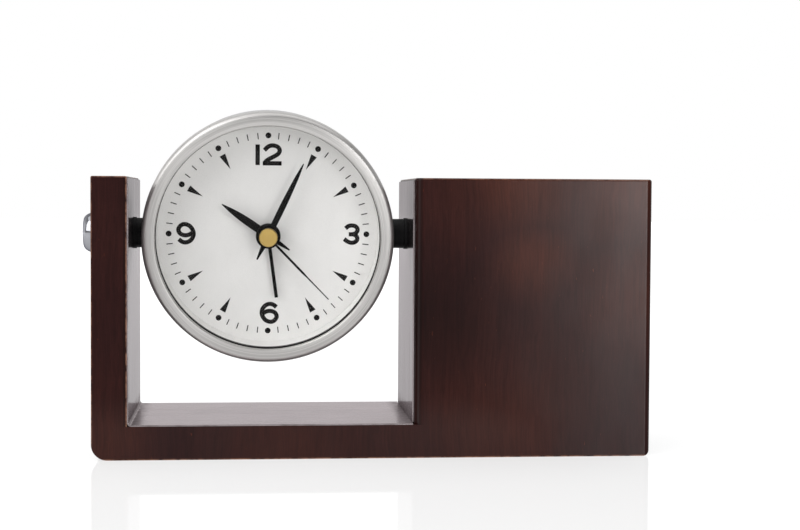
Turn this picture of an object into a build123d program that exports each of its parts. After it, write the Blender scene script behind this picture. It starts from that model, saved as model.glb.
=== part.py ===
from build123d import *
import math
import os

# Desk clock with a wooden stand: a round quartz alarm clock swivels between
# a slim post and a box with an open pen well. Sizes are in millimetres.
# The origin is the middle of the underside, +X to the right seen from the
# front, -Y towards the viewer and +Z up.

# Wooden stand; its width follows from the post, the clock and the box
STAND_DEPTH = 60.0
STAND_HEIGHT = 95.0
BASE_THICKNESS = 11.3
POST_THICKNESS = 11.9
BOX_WIDTH = 81.5
BOX_WALL = 6.0
WELL_FLOOR_THICKNESS = 16.0
BASE_LEFT_RADIUS = 5.5
BASE_RIGHT_RADIUS = 2.5
BOX_LEFT_RADIUS = 3.0
BOX_RIGHT_RADIUS = 2.0
POST_EDGE_RADIUS = 0.6
BOX_RIM_RADIUS = 0.8
WELL_RIM_RADIUS = 0.6

# Sheet lining of the gap
LINER_THICKNESS = 0.5

# Swivel
PIVOT_DROP = 19.4
SIDE_ROOM = 5.5
CLOCK_OFFSET = 1.1
CLOCK_LEAN = 7.0
SCREW_RADIUS = 2.0
SCREW_HEAD_RADIUS = 8.0
SCREW_HEAD_HEIGHT = 6.2
SCREW_HEAD_FLAT_RADIUS = 3.0
SCREW_HEAD_EDGE = 0.5
SCREW_DOME_STEPS = 10
BUSH_WALL = 1.6
BUSH_FLANGE_RADIUS = 5.5
BUSH_FLANGE_THICKNESS = 0.8
SPACER_RADIUS = 5.2

# Clearances
RUNNING_FIT = 0.05
FACE_CLEARANCE = 0.1
SEAT_GAP = 0.25

# How far a cut runs past the face it opens
OVERCUT = 1.0

# Clock case: the wall, and the room between the movement and the dial seat.
# Forward distances run along the hand spindle from the swivel axis.
CASE_WALL = 2.75
MOVEMENT_ROOM = 1.1
LENS_ROOM = 0.3
DIAL_SEAT_WIDTH = 1.35
DIAL_SEAT_DEPTH = 2.4

# Bezel: how far it stands out of the case, how wide it is, and its heights
# from the front edge of the case
BEZEL_OVERHANG = 1.45
BEZEL_WIDTH = 5.3
BEZEL_CREST_INSET = 3.15
BEZEL_SKIRT = 6.7
BEZEL_SIDE_RISE = 0.1
BEZEL_CREST_RISE = 3.6
BEZEL_LIP_RISE = 2.1
BEZEL_SIDE_SLOPE = (0, 1)
BEZEL_LIP_SLOPE = (-0.35, -1)
LENS_THICKNESS = 1.5
LENS_MARGIN = 0.9
DIAL_THICKNESS = 1.0
DIAL_FRONT = 2.0

# Back of the case
COVER_THICKNESS = 1.3
COVER_ROOM = 0.6
COVER_SCREW_INSET = 4.55
COVER_SCREW_ANGLES = (90.0, 200.0, 340.0)
COVER_SCREW_RADIUS = 1.1
COVER_SCREW_HEAD_RADIUS = 2.1
COVER_SCREW_HEAD_HEIGHT = 1.2
COVER_SCREW_LENGTH = 7.0
SCREW_SLOT_WIDTH = 0.5
BOSS_RADIUS = 2.6
BOSS_HEIGHT = 9.0
SOUND_HOLE_RADIUS = 0.9
SOUND_HOLE_CIRCLE = 4.0
SOUND_HOLES = 6

# Outlines of the hands: share of the tip or tail length, share of the width there
MINUTE_BLADE = (
    (1.0, 0.14), (0.95, 0.3), (0.875, 0.5), (0.8, 0.65), (0.73, 0.74), (0.65, 0.83),
    (0.58, 0.9), (0.5, 0.96), (0.36, 1.0), (0.2, 0.98), (0.0, 0.96),
)
HOUR_BLADE = (
    (1.0, 0.1), (0.95, 0.23), (0.89, 0.37), (0.84, 0.5), (0.79, 0.61), (0.73, 0.71),
    (0.67, 0.8), (0.6, 0.88), (0.52, 0.95), (0.41, 1.0), (0.2, 0.99), (0.0, 0.96),
)
LEAF_TAIL = ((0.5, 0.62), (1.0, 0.2))
LEAF_TAIL_WIDTH = 2.5
SECONDS_BAR = ((1.0, 0.38), (0.64, 0.62), (0.57, 0.95), (0.0, 1.0))
ALARM_BAR = ((1.0, 1.0), (0.0, 1.0))

# Hands: tip length, tail length, greatest width, clock angle in degrees
HAND_THICKNESS = 0.35
HUB_RADIUS = 4.3
MINUTE_HAND = {"tip": 28.2, "tail": 9.05, "width": 2.14, "angle": 25.5}
HOUR_HAND = {"tip": 19.5, "tail": 9.05, "width": 2.78, "angle": 304.3}
SECONDS_HAND = {"tip": 30.5, "width": 0.8, "angle": 136.1}
ALARM_HAND = {"tip": 22.5, "width": 1.2, "angle": 172.4}
SECONDS_HUB_RADIUS = 2.6
ALARM_HUB_RADIUS = 3.4
CAP_RADIUS = 3.2
CAP_CHAMFER = 0.2

# Heights of the spindle bush, hands and cap above the dial
SPINDLE_BUSH_RISE = 1.6
ALARM_HAND_RISE = 2.6
HOUR_HAND_RISE = 4.4
MINUTE_HAND_RISE = 6.3
SECONDS_HAND_RISE = 8.3
CAP_RISE = 10.0

# Coaxial spindle
SECONDS_ARBOR_RADIUS = 0.45
PIPE_WALL = 0.55
ALARM_PIPE_WALL = 0.8
SPINDLE_BUSH_WALL = 0.8

# Movement housing, built round the battery and the wheel train
MOVEMENT_WALL = 1.2
MOVEMENT_CORNER = 3.0
MOVEMENT_PLATE_THICKNESS = 1.5
BATTERY_RADIUS = 7.25
BATTERY_LENGTH = 49.5
BATTERY_NUB_RADIUS = 2.75
BATTERY_NUB_LENGTH = 1.0
BATTERY_GAP = 0.2
CONTACT_THICKNESS = 0.35
CONTACT_SIZE = 8.0
PARTITION = 0.8
GEAR_BAY_BOTTOM = -9.3

# Wheel train: teeth, centre distances and thicknesses
SECONDS_TEETH = 32
SECONDS_PINION_TEETH = 8
THIRD_TEETH = 60
THIRD_PINION_TEETH = 8
MINUTE_TEETH = 64
MINUTE_PINION_TEETH = 10
MOTION_TEETH = 30
MOTION_PINION_TEETH = 8
HOUR_TEETH = 32
INTERMEDIATE_TEETH = 45
INTERMEDIATE_PINION_TEETH = 8
ROTOR_PINION_TEETH = 6
ALARM_TEETH = 40
ALARM_SET_TEETH = 20
ROTOR_CENTRE_DISTANCE = 6.375
INTERMEDIATE_CENTRE_DISTANCE = 6.0
THIRD_CENTRE_DISTANCE = 8.5
WHEEL_THICKNESS = 0.7
PINION_THICKNESS = 1.1
LAYER_GAP = 0.4
TOOTH_ROOT_SHARE = 0.22
TOOTH_TIP_SHARE = 0.10
TOOTH_ADDENDUM = 0.8
TOOTH_DEDENDUM = 1.1
ARBOR_RADIUS = 0.5
SET_STEM_RADIUS = 1.0
MIDDLE_PLATE_THICKNESS = 0.8
MIDDLE_PLATE_MARGIN = 4.6
STEM_ROOM = 0.5
ROTOR_RADIUS = 2.5
ROTOR_LENGTH = 1.6
STATOR_THICKNESS = 1.0
STATOR_HALF_WIDTH = 11.0
STATOR_LEG = 3.0
STATOR_BRIDGE = 8.5
COIL_RADIUS = 3.5
COIL_LENGTH = 15.0
COIL_FLANGE = 0.8
COIL_ROOM = 1.4
CORE_WIDTH = 3.0
BOARD_HEIGHT = 19.0
BOARD_ROOM = 1.0
BOARD_THICKNESS = 0.8
BOARD_MARGIN = 0.6
CRYSTAL_RADIUS = 1.0
CRYSTAL_LENGTH = 6.0
CRYSTAL_PLACE = (0.75, 0.7)
CHIP_RADIUS = 2.5
CHIP_HEIGHT = 0.9
CHIP_PLACE = (0.4, 0.3)
BUZZER_THICKNESS = 1.6
BUZZER_HEIGHT = 13.0

# Controls on the back
KNOB_RADIUS = 5.2
KNOB_THICKNESS = 4.2
KNOB_RIBS = 24
KNOB_RIB_DEPTH = 0.35
KNOB_RIB_ROOT_SHARE = 0.30
KNOB_RIB_TIP_SHARE = 0.15
KNOB_GAP = 0.5
SWITCH_TRAVEL = 3.0
SWITCH_CAP = (4.0, 5.0)
SWITCH_STEM = (1.6, 2.4)
SWITCH_STEM_REACH = 0.4
SWITCH_CAP_THICKNESS = 1.4
SWITCH_CHAMFER = 0.3
DOOR_MARGIN = 1.4
DOOR_CLEARANCE = 0.2
DOOR_CORNER = 1.5
DOOR_GRIP_RIBS = 3
DOOR_GRIP_WIDTH = 8.0
DOOR_GRIP_HEIGHT = 0.5

# Dial, hands and front plate along the spindle
DIAL_BACK = DIAL_FRONT - DIAL_THICKNESS
PLATE_BACK = DIAL_BACK - MOVEMENT_PLATE_THICKNESS
SPINDLE_BUSH_FRONT = DIAL_FRONT + SPINDLE_BUSH_RISE
ALARM_HAND_FRONT = DIAL_FRONT + ALARM_HAND_RISE
HOUR_HAND_FRONT = DIAL_FRONT + HOUR_HAND_RISE
MINUTE_HAND_FRONT = DIAL_FRONT + MINUTE_HAND_RISE
SECONDS_HAND_FRONT = DIAL_FRONT + SECONDS_HAND_RISE
CAP_FRONT = DIAL_FRONT + CAP_RISE

# Gear layers, each given by its front face, from the dial towards the back
ALARM_LAYER = PLATE_BACK - LAYER_GAP
HOUR_LAYER = ALARM_LAYER - WHEEL_THICKNESS - LAYER_GAP
MINUTE_PINION_LAYER = HOUR_LAYER - PINION_THICKNESS - LAYER_GAP / 2
MINUTE_LAYER = MINUTE_PINION_LAYER - PINION_THICKNESS - LAYER_GAP / 2
SECONDS_PINION_LAYER = MINUTE_LAYER - PINION_THICKNESS - LAYER_GAP / 2
MIDDLE_PLATE_FRONT = SECONDS_PINION_LAYER - PINION_THICKNESS - LAYER_GAP
MIDDLE_PLATE_BACK = MIDDLE_PLATE_FRONT - MIDDLE_PLATE_THICKNESS
SECONDS_LAYER = MIDDLE_PLATE_BACK - LAYER_GAP
INTERMEDIATE_LAYER = SECONDS_LAYER - PINION_THICKNESS - LAYER_GAP / 2
ROTOR_FRONT = INTERMEDIATE_LAYER - PINION_THICKNESS - LAYER_GAP
MOVEMENT_BACK_INNER = ROTOR_FRONT - ROTOR_LENGTH - LAYER_GAP
MOVEMENT_BACK = MOVEMENT_BACK_INNER - MOVEMENT_WALL

# Wheel places: the rotor and coil stand above the centre, the alarm switch
# is level with the coil, and the setting stems clear the minute wheel
ROTOR_HEIGHT = INTERMEDIATE_CENTRE_DISTANCE + ROTOR_CENTRE_DISTANCE
COIL_HEIGHT = ROTOR_HEIGHT + STATOR_BRIDGE / 2 + COIL_ROOM + COIL_RADIUS
SWITCH_HEIGHT = COIL_HEIGHT
MIDDLE_PLATE_TOP = ROTOR_HEIGHT + MIDDLE_PLATE_MARGIN
MINUTE_MODULE = 2 * THIRD_CENTRE_DISTANCE / (THIRD_PINION_TEETH + MINUTE_TEETH)
MINUTE_TIP_RADIUS = MINUTE_MODULE * (MINUTE_TEETH / 2 + TOOTH_ADDENDUM)
SET_CENTRE_DISTANCE = MINUTE_TIP_RADIUS + SET_STEM_RADIUS + STEM_ROOM

# Movement housing round the battery and the coil
BATTERY_AXIS = GEAR_BAY_BOTTOM - PARTITION - BATTERY_GAP - BATTERY_RADIUS
MOVEMENT_BOTTOM = BATTERY_AXIS - BATTERY_RADIUS - BATTERY_GAP - MOVEMENT_WALL
MOVEMENT_TOP = COIL_HEIGHT + COIL_RADIUS + COIL_ROOM / 2 + MOVEMENT_WALL
MOVEMENT_HALF_WIDTH = BATTERY_LENGTH / 2 + BATTERY_NUB_LENGTH + CONTACT_THICKNESS + MOVEMENT_WALL
MOVEMENT_REACH = MOVEMENT_CORNER + math.hypot(
    MOVEMENT_HALF_WIDTH - MOVEMENT_CORNER,
    max(MOVEMENT_TOP, -MOVEMENT_BOTTOM) - MOVEMENT_CORNER,
)
STATOR_REACH = STATOR_HALF_WIDTH + STATOR_LEG / 2
SIDE_BAY = MOVEMENT_HALF_WIDTH - MOVEMENT_WALL - BOARD_MARGIN - STATOR_REACH
BOARD_WIDTH = SIDE_BAY - BOARD_ROOM
BUZZER_RADIUS = BOARD_WIDTH / 2
BUZZER_CENTRE = (MOVEMENT_HALF_WIDTH - MOVEMENT_WALL - BOARD_MARGIN - BUZZER_RADIUS, BUZZER_HEIGHT)

# Case round the movement: the cover lies behind the battery and the train,
# whichever is deeper
CASE_INNER_RADIUS = MOVEMENT_REACH + MOVEMENT_ROOM + DIAL_SEAT_WIDTH
CASE_OUTER_RADIUS = CASE_INNER_RADIUS + CASE_WALL
CASE_FRONT = CAP_FRONT + LENS_ROOM
COVER_FRONT = min(PLATE_BACK - 2 * BATTERY_RADIUS - BATTERY_GAP, MOVEMENT_BACK - COVER_ROOM)
CASE_BACK = COVER_FRONT - COVER_THICKNESS
BATTERY_DEPTH = COVER_FRONT + BATTERY_RADIUS + BATTERY_GAP / 2
DIAL_RADIUS = CASE_INNER_RADIUS - SEAT_GAP
LENS_BACK = CASE_FRONT
LENS_FRONT = LENS_BACK + LENS_THICKNESS
LENS_RADIUS = CASE_OUTER_RADIUS - LENS_MARGIN
BEZEL_RADIUS = CASE_OUTER_RADIUS + BEZEL_OVERHANG
BEZEL_BACK = CASE_FRONT - BEZEL_SKIRT
COVER_SCREW_CIRCLE = CASE_INNER_RADIUS - COVER_SCREW_INSET

# Stand round the clock
HALF_GAP = CASE_OUTER_RADIUS + SIDE_ROOM
STAND_WIDTH = POST_THICKNESS + 2 * LINER_THICKNESS + 2 * HALF_GAP + BOX_WIDTH
LEFT = -STAND_WIDTH / 2
RIGHT = STAND_WIDTH / 2
FRONT = -STAND_DEPTH / 2
BACK = STAND_DEPTH / 2
POST_INNER = LEFT + POST_THICKNESS
BOX_LEFT = RIGHT - BOX_WIDTH
GAP_LEFT = POST_INNER + LINER_THICKNESS
GAP_RIGHT = BOX_LEFT - LINER_THICKNESS
PIVOT_X = (GAP_LEFT + GAP_RIGHT) / 2 - CLOCK_OFFSET
PIVOT_HEIGHT = STAND_HEIGHT - PIVOT_DROP

# Pipes of the coaxial spindle, each running on the one inside it
MINUTE_PIPE_BORE = SECONDS_ARBOR_RADIUS + RUNNING_FIT
MINUTE_PIPE_RADIUS = MINUTE_PIPE_BORE + PIPE_WALL
HOUR_PIPE_BORE = MINUTE_PIPE_RADIUS + RUNNING_FIT
HOUR_PIPE_RADIUS = HOUR_PIPE_BORE + PIPE_WALL
ALARM_PIPE_BORE = HOUR_PIPE_RADIUS + RUNNING_FIT
ALARM_PIPE_RADIUS = ALARM_PIPE_BORE + ALARM_PIPE_WALL
SPINDLE_BUSH_BORE = ALARM_PIPE_RADIUS + RUNNING_FIT
SPINDLE_BUSH_RADIUS = SPINDLE_BUSH_BORE + SPINDLE_BUSH_WALL

# The clock's own frame: x to the right, y up the face, z forward out of the
# dial, with its origin on the swivel axis
FACE = Plane(
    origin=(PIVOT_X, 0, PIVOT_HEIGHT),
    x_dir=(1, 0, 0),
    z_dir=(0, -math.cos(math.radians(CLOCK_LEAN)), -math.sin(math.radians(CLOCK_LEAN))),
)


def block(x0, x1, y0, y1, z0, z1):
    """A box between two corners."""
    size = (x1 - x0, y1 - y0, z1 - z0)
    centre = ((x0 + x1) / 2, (y0 + y1) / 2, (z0 + z1) / 2)
    return Pos(*centre) * Box(*size)


def disc(radius, low, high, x=0.0, y=0.0):
    """A round bar along z from low to high."""
    return Pos(x, y, (low + high) / 2) * Cylinder(radius, high - low)


def tube(outer, inner, low, high, x=0.0, y=0.0):
    """A round tube along z from low to high."""
    return disc(outer, low, high, x, y) - disc(inner, low - OVERCUT, high + OVERCUT, x, y)


def side_bar(radius, x0, x1, y=0.0, z=0.0):
    """A round bar along x from x0 to x1."""
    return Pos((x0 + x1) / 2, y, z) * Rot(0, 90, 0) * Cylinder(radius, x1 - x0)


def polar(radius, degrees):
    """The x and y of a point at a radius and an angle from +x."""
    return radius * math.cos(math.radians(degrees)), radius * math.sin(math.radians(degrees))


def save(name, shape):
    """Write one piece under its node name."""
    export_step(shape, os.path.join("parts", name + ".step"))


def save_on_clock(name, shape):
    """Write one piece that was drawn in the clock's own frame."""
    save(name, shape.moved(FACE.location))


# Stand

def rounded_rectangle(x0, x1, y0, y1, left_radius, right_radius):
    """Plan outline whose left and right corners have different radii."""
    outline = Pos((x0 + x1) / 2, (y0 + y1) / 2) * Rectangle(x1 - x0, y1 - y0)
    corners = outline.vertices().sort_by(Axis.X)
    outline = fillet(corners[:2], left_radius)
    corners = outline.vertices().sort_by(Axis.X)
    return fillet(corners[-2:], right_radius)


def make_base_board():
    """Long board under everything, its two lower ends rounded."""
    side = Pos(0, BASE_THICKNESS / 2) * Rectangle(STAND_WIDTH, BASE_THICKNESS)
    low = side.vertices().sort_by(Axis.Y)[:2].sort_by(Axis.X)
    side = fillet(low[0], BASE_LEFT_RADIUS)
    right_low = side.vertices().sort_by(Axis.X).filter_by_position(Axis.Y, -0.1, 0.1)[-1]
    side = fillet(right_low, BASE_RIGHT_RADIUS)
    board = extrude(Plane.XZ * side, STAND_DEPTH / 2, both=True)
    plan = rounded_rectangle(LEFT, RIGHT, FRONT, BACK, POST_EDGE_RADIUS, BOX_RIGHT_RADIUS)
    return board & extrude(plan, BASE_THICKNESS)


def bush_hole(x0, x1):
    """Hole for a swivel bush, from x0 to x1."""
    return side_bar(SCREW_RADIUS + RUNNING_FIT + BUSH_WALL, x0, x1, 0, PIVOT_HEIGHT)


def make_left_post():
    """Slim upright on the base's left end, with a hole for its bush."""
    post = block(LEFT, POST_INNER, FRONT, BACK, BASE_THICKNESS, STAND_HEIGHT)
    outer = post.edges().filter_by(Axis.Z).sort_by(Axis.X)[:2]
    rim = post.edges().group_by(Axis.Z)[-1]
    post = fillet(outer + rim, POST_EDGE_RADIUS)
    return post - bush_hole(LEFT - OVERCUT, POST_INNER + OVERCUT)


def make_box():
    """The four box boards as one ring, before it is divided."""
    plan = rounded_rectangle(BOX_LEFT, RIGHT, FRONT, BACK, BOX_LEFT_RADIUS, BOX_RIGHT_RADIUS)
    outside = Pos(0, 0, BASE_THICKNESS) * extrude(plan, STAND_HEIGHT - BASE_THICKNESS)
    outside = fillet(outside.edges().group_by(Axis.Z)[-1], BOX_RIM_RADIUS)
    well = block(
        BOX_LEFT + BOX_WALL, RIGHT - BOX_WALL, FRONT + BOX_WALL, BACK - BOX_WALL,
        BASE_THICKNESS - OVERCUT, STAND_HEIGHT + OVERCUT,
    )
    ring = outside - well
    mouth = [
        edge for edge in ring.edges().group_by(Axis.Z)[-1]
        if BOX_LEFT + BOX_WALL - 0.1 < edge.center().X < RIGHT - BOX_WALL + 0.1
        and FRONT + BOX_WALL - 0.1 < edge.center().Y < BACK - BOX_WALL + 0.1
    ]
    return fillet(mouth, WELL_RIM_RADIUS)


def divide_box(box):
    """Cut the ring into front, back, left and right boards."""
    low, high = BASE_THICKNESS - OVERCUT, STAND_HEIGHT + OVERCUT
    left, right = BOX_LEFT - OVERCUT, RIGHT + OVERCUT
    inner_front, inner_back = FRONT + BOX_WALL, BACK - BOX_WALL
    middle = BOX_LEFT + BOX_WIDTH / 2
    boards = {
        "box_front": block(left, right, FRONT - OVERCUT, inner_front, low, high),
        "box_back": block(left, right, inner_back, BACK + OVERCUT, low, high),
        "box_left": block(left, middle, inner_front, inner_back, low, high),
        "box_right": block(middle, right, inner_front, inner_back, low, high),
    }
    return {name: box & region for name, region in boards.items()}


def make_well_floor():
    """Wooden block that fills the foot of the pen well."""
    return block(
        BOX_LEFT + BOX_WALL, RIGHT - BOX_WALL, FRONT + BOX_WALL, BACK - BOX_WALL,
        BASE_THICKNESS, BASE_THICKNESS + WELL_FLOOR_THICKNESS,
    )


def make_liners():
    """Three sheet strips that line the gap: left, floor and right."""
    floor_top = BASE_THICKNESS + LINER_THICKNESS
    left = block(POST_INNER, GAP_LEFT, FRONT, BACK, BASE_THICKNESS, STAND_HEIGHT - POST_EDGE_RADIUS)
    right = block(
        GAP_RIGHT, BOX_LEFT, FRONT + BOX_LEFT_RADIUS, BACK - BOX_LEFT_RADIUS,
        BASE_THICKNESS, STAND_HEIGHT - BOX_RIM_RADIUS,
    )
    return {
        "liner_left": left - bush_hole(LEFT, GAP_LEFT + OVERCUT),
        "liner_floor": block(GAP_LEFT, GAP_RIGHT, FRONT, BACK, BASE_THICKNESS, floor_top),
        "liner_right": right - bush_hole(GAP_RIGHT - OVERCUT, BOX_LEFT + OVERCUT),
    }


def make_pivot_bush(sheet_face, wood_end, inward):
    """Flanged bush through a liner and the wood behind it."""
    outer = SCREW_RADIUS + RUNNING_FIT + BUSH_WALL
    low, high = sorted((sheet_face, wood_end))
    flange_end = sheet_face + inward * BUSH_FLANGE_THICKNESS
    flange_low, flange_high = sorted((sheet_face, flange_end))
    bush = side_bar(outer, low, high, 0, PIVOT_HEIGHT)
    bush += side_bar(BUSH_FLANGE_RADIUS, flange_low, flange_high, 0, PIVOT_HEIGHT)
    bore = side_bar(
        SCREW_RADIUS + RUNNING_FIT, LEFT - OVERCUT, RIGHT + OVERCUT, 0, PIVOT_HEIGHT,
    )
    return bush - bore


def make_stand():
    """Write every piece of the stand."""
    save("base_board", make_base_board())
    save("left_post", make_left_post())
    boards = divide_box(make_box())
    boards["box_left"] -= bush_hole(BOX_LEFT - OVERCUT, BOX_LEFT + BOX_WALL + OVERCUT)
    for name, board in boards.items():
        save(name, board)
    save("well_floor", make_well_floor())
    for name, strip in make_liners().items():
        save(name, strip)
    save("pivot_bush_left", make_pivot_bush(GAP_LEFT, LEFT, 1))
    save("pivot_bush_right", make_pivot_bush(GAP_RIGHT, BOX_LEFT + BOX_WALL, -1))


# Swivel screws and spacers, in the clock's own frame

def make_pivot_screw(side, wood_face):
    """Dome-headed screw; side is -1 on the left and 1 on the right."""
    seat = wood_face + FACE_CLEARANCE
    half = [
        (0, 0),
        (SCREW_HEAD_RADIUS, 0),
        (SCREW_HEAD_RADIUS, SCREW_HEAD_EDGE),
    ]
    rise = SCREW_HEAD_HEIGHT - SCREW_HEAD_EDGE
    run = SCREW_HEAD_RADIUS - SCREW_HEAD_FLAT_RADIUS
    dome = [
        (SCREW_HEAD_FLAT_RADIUS + run * math.cos(turn), SCREW_HEAD_EDGE + rise * math.sin(turn))
        for turn in [
            math.pi / 2 * step / SCREW_DOME_STEPS for step in range(SCREW_DOME_STEPS + 1)
        ]
    ]
    outline = Polyline(*half) + Spline(*dome) + Polyline(dome[-1], (0, SCREW_HEAD_HEIGHT), (0, 0))
    head = revolve(Plane.XZ * make_face(outline), Axis.Z)
    shank_length = seat - CASE_INNER_RADIUS - SEAT_GAP
    screw = Pos(0, 0, seat) * head + disc(SCREW_RADIUS, seat - shank_length, seat)
    turned = Rot(0, 90, 0) * screw
    return turned if side > 0 else Rot(0, 0, 180) * turned


def make_spacer(side):
    """Black spacer between the case and the flange of the bush."""
    outer_end = HALF_GAP + side * CLOCK_OFFSET - BUSH_FLANGE_THICKNESS - FACE_CLEARANCE
    low, high = sorted((side * (CASE_OUTER_RADIUS - CASE_WALL / 2), side * outer_end))
    spacer = side_bar(SPACER_RADIUS, low, high)
    spacer -= disc(CASE_OUTER_RADIUS, -CASE_OUTER_RADIUS, CASE_OUTER_RADIUS)
    return spacer - side_bar(SCREW_RADIUS, low - OVERCUT, high + OVERCUT)


# Clock case

def make_bezel():
    """Convex metal ring over the front of the case, with a lip on the lens."""
    lip_radius = BEZEL_RADIUS - BEZEL_WIDTH
    shoulder = (BEZEL_RADIUS, CASE_FRONT + BEZEL_SIDE_RISE)
    crest = (BEZEL_RADIUS - BEZEL_CREST_INSET, CASE_FRONT + BEZEL_CREST_RISE)
    lip = (lip_radius, CASE_FRONT + BEZEL_LIP_RISE)
    front = Spline(shoulder, crest, lip, tangents=(BEZEL_SIDE_SLOPE, BEZEL_LIP_SLOPE))
    rest = Polyline(
        lip,
        (lip_radius, LENS_FRONT),
        (LENS_RADIUS, LENS_FRONT),
        (LENS_RADIUS, LENS_BACK),
        (CASE_OUTER_RADIUS, LENS_BACK),
        (CASE_OUTER_RADIUS, BEZEL_BACK),
        (BEZEL_RADIUS, BEZEL_BACK),
        shoulder,
    )
    return revolve(Plane.XZ * make_face(front + rest), Axis.Z)


def cover_screw_places():
    """Centres of the screws that hold the back cover."""
    return [polar(COVER_SCREW_CIRCLE, angle) for angle in COVER_SCREW_ANGLES]


def make_case_shell():
    """Metal drum with a seat for the dial and bosses for the back cover."""
    seat_low = DIAL_BACK - DIAL_SEAT_DEPTH
    shell = tube(CASE_OUTER_RADIUS, CASE_INNER_RADIUS, CASE_BACK, CASE_FRONT)
    seat_bore = CASE_INNER_RADIUS - DIAL_SEAT_WIDTH
    shell += tube(CASE_INNER_RADIUS + CASE_WALL / 2, seat_bore, seat_low, DIAL_BACK)
    reach = CASE_INNER_RADIUS + CASE_WALL / 2 - COVER_SCREW_CIRCLE
    boss_top = COVER_FRONT + BOSS_HEIGHT
    for angle, (x, y) in zip(COVER_SCREW_ANGLES, cover_screw_places()):
        web = block(0, reach, -BOSS_RADIUS / 2, BOSS_RADIUS / 2, COVER_FRONT, boss_top)
        shell += Pos(x, y, 0) * Rot(0, 0, angle) * web
        shell += disc(BOSS_RADIUS, COVER_FRONT, boss_top, x, y)
    for x, y in cover_screw_places():
        shell -= disc(COVER_SCREW_RADIUS, CASE_BACK, CASE_BACK + COVER_SCREW_LENGTH, x, y)
    for side in (-1, 1):
        x0, x1 = sorted((side * (CASE_INNER_RADIUS - SEAT_GAP), side * BEZEL_RADIUS))
        shell -= side_bar(SCREW_RADIUS, x0, x1)
    return shell


def make_lens():
    """Flat clear lens held between the case and the bezel's lip."""
    return disc(LENS_RADIUS, LENS_BACK, LENS_FRONT)


def make_dial():
    """Thin dial plate with a hole for the spindle bush."""
    return tube(DIAL_RADIUS, SPINDLE_BUSH_RADIUS, DIAL_BACK, DIAL_FRONT)


def door_outline(grow):
    """Half width, bottom and top of the battery door's opening."""
    half_width = BATTERY_LENGTH / 2 + DOOR_MARGIN + grow
    bottom = BATTERY_AXIS - BATTERY_RADIUS - grow
    top = BATTERY_AXIS + BATTERY_RADIUS + grow
    return half_width, bottom, top


def door_plate(grow, low, high):
    """Rounded plate in the shape of the battery door."""
    half_width, bottom, top = door_outline(grow)
    outline = RectangleRounded(2 * half_width, top - bottom, DOOR_CORNER)
    return Pos(0, (bottom + top) / 2, low) * extrude(outline, high - low)


def set_stem_places():
    """Centres of the time-setting stem and the alarm-setting stem."""
    return {"time": (-SET_CENTRE_DISTANCE, 0.0), "alarm": (SET_CENTRE_DISTANCE, 0.0)}


def switch_slot(low, high):
    """Slot for the alarm switch's stem, as long as its travel."""
    width, height = SWITCH_STEM
    x0 = -width / 2 - 2 * FACE_CLEARANCE
    x1 = width / 2 + SWITCH_TRAVEL + 2 * FACE_CLEARANCE
    half = height / 2 + FACE_CLEARANCE
    return block(x0, x1, SWITCH_HEIGHT - half, SWITCH_HEIGHT + half, low, high)


def make_back_cover():
    """Round black cover with its openings for the controls and the battery."""
    cover = disc(CASE_INNER_RADIUS - FACE_CLEARANCE, CASE_BACK, COVER_FRONT)
    low, high = CASE_BACK - OVERCUT, COVER_FRONT + OVERCUT
    cover -= door_plate(DOOR_CLEARANCE, low, high)
    for x, y in set_stem_places().values():
        cover -= disc(SET_STEM_RADIUS + 2 * RUNNING_FIT, low, high, x, y)
    cover -= switch_slot(low, high)
    for x, y in cover_screw_places():
        cover -= disc(COVER_SCREW_RADIUS + FACE_CLEARANCE, low, high, x, y)
    for hole in range(SOUND_HOLES):
        x, y = polar(SOUND_HOLE_CIRCLE, hole * 360 / SOUND_HOLES)
        centre = (BUZZER_CENTRE[0] + x, BUZZER_CENTRE[1] + y)
        cover -= disc(SOUND_HOLE_RADIUS, low, high, *centre)
    return cover


def make_cover_screws():
    """Three slotted screws through the back cover into the case's bosses."""
    screws = []
    for x, y in cover_screw_places():
        head_low = CASE_BACK - COVER_SCREW_HEAD_HEIGHT
        screw = disc(COVER_SCREW_RADIUS, CASE_BACK, CASE_BACK + COVER_SCREW_LENGTH, x, y)
        head = disc(COVER_SCREW_HEAD_RADIUS, head_low, CASE_BACK, x, y)
        slot = block(
            x - COVER_SCREW_HEAD_RADIUS, x + COVER_SCREW_HEAD_RADIUS,
            y - SCREW_SLOT_WIDTH / 2, y + SCREW_SLOT_WIDTH / 2,
            head_low, head_low + COVER_SCREW_HEAD_HEIGHT / 2,
        )
        screws.append((screw + head) - slot)
    return Compound(children=screws)


def make_battery_door():
    """Door over the battery, with grip ribs for a finger nail."""
    door = door_plate(0, CASE_BACK, COVER_FRONT)
    top = BATTERY_AXIS + BATTERY_RADIUS
    pitch = 2 * DOOR_GRIP_HEIGHT + FACE_CLEARANCE
    for rib in range(DOOR_GRIP_RIBS):
        y = top - DOOR_CORNER - rib * pitch
        door += block(
            -DOOR_GRIP_WIDTH / 2, DOOR_GRIP_WIDTH / 2, y - DOOR_GRIP_HEIGHT, y,
            CASE_BACK - DOOR_GRIP_HEIGHT, CASE_BACK,
        )
    return door


# Hands

def leaf_hand(tip, tail, width, blade, front):
    """Slim leaf with curved sides, a tapered tail and a round hub, pointing at 12."""
    right = [(width / 2 * share, tip * place) for place, share in blade]
    left = [(-x, y) for x, y in reversed(right)]
    root = [(LEAF_TAIL_WIDTH / 2 * share, -tail * place) for place, share in LEAF_TAIL]
    other_root = [(-x, y) for x, y in reversed(root)]
    outline = [
        Spline(*right), Polyline(right[-1], *root, *other_root, left[0]), Spline(*left),
        Line(left[-1], right[0]),
    ]
    hand = extrude(make_face(outline), HAND_THICKNESS)
    return Pos(0, 0, front - HAND_THICKNESS) * (hand + disc(HUB_RADIUS, 0, HAND_THICKNESS))


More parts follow.
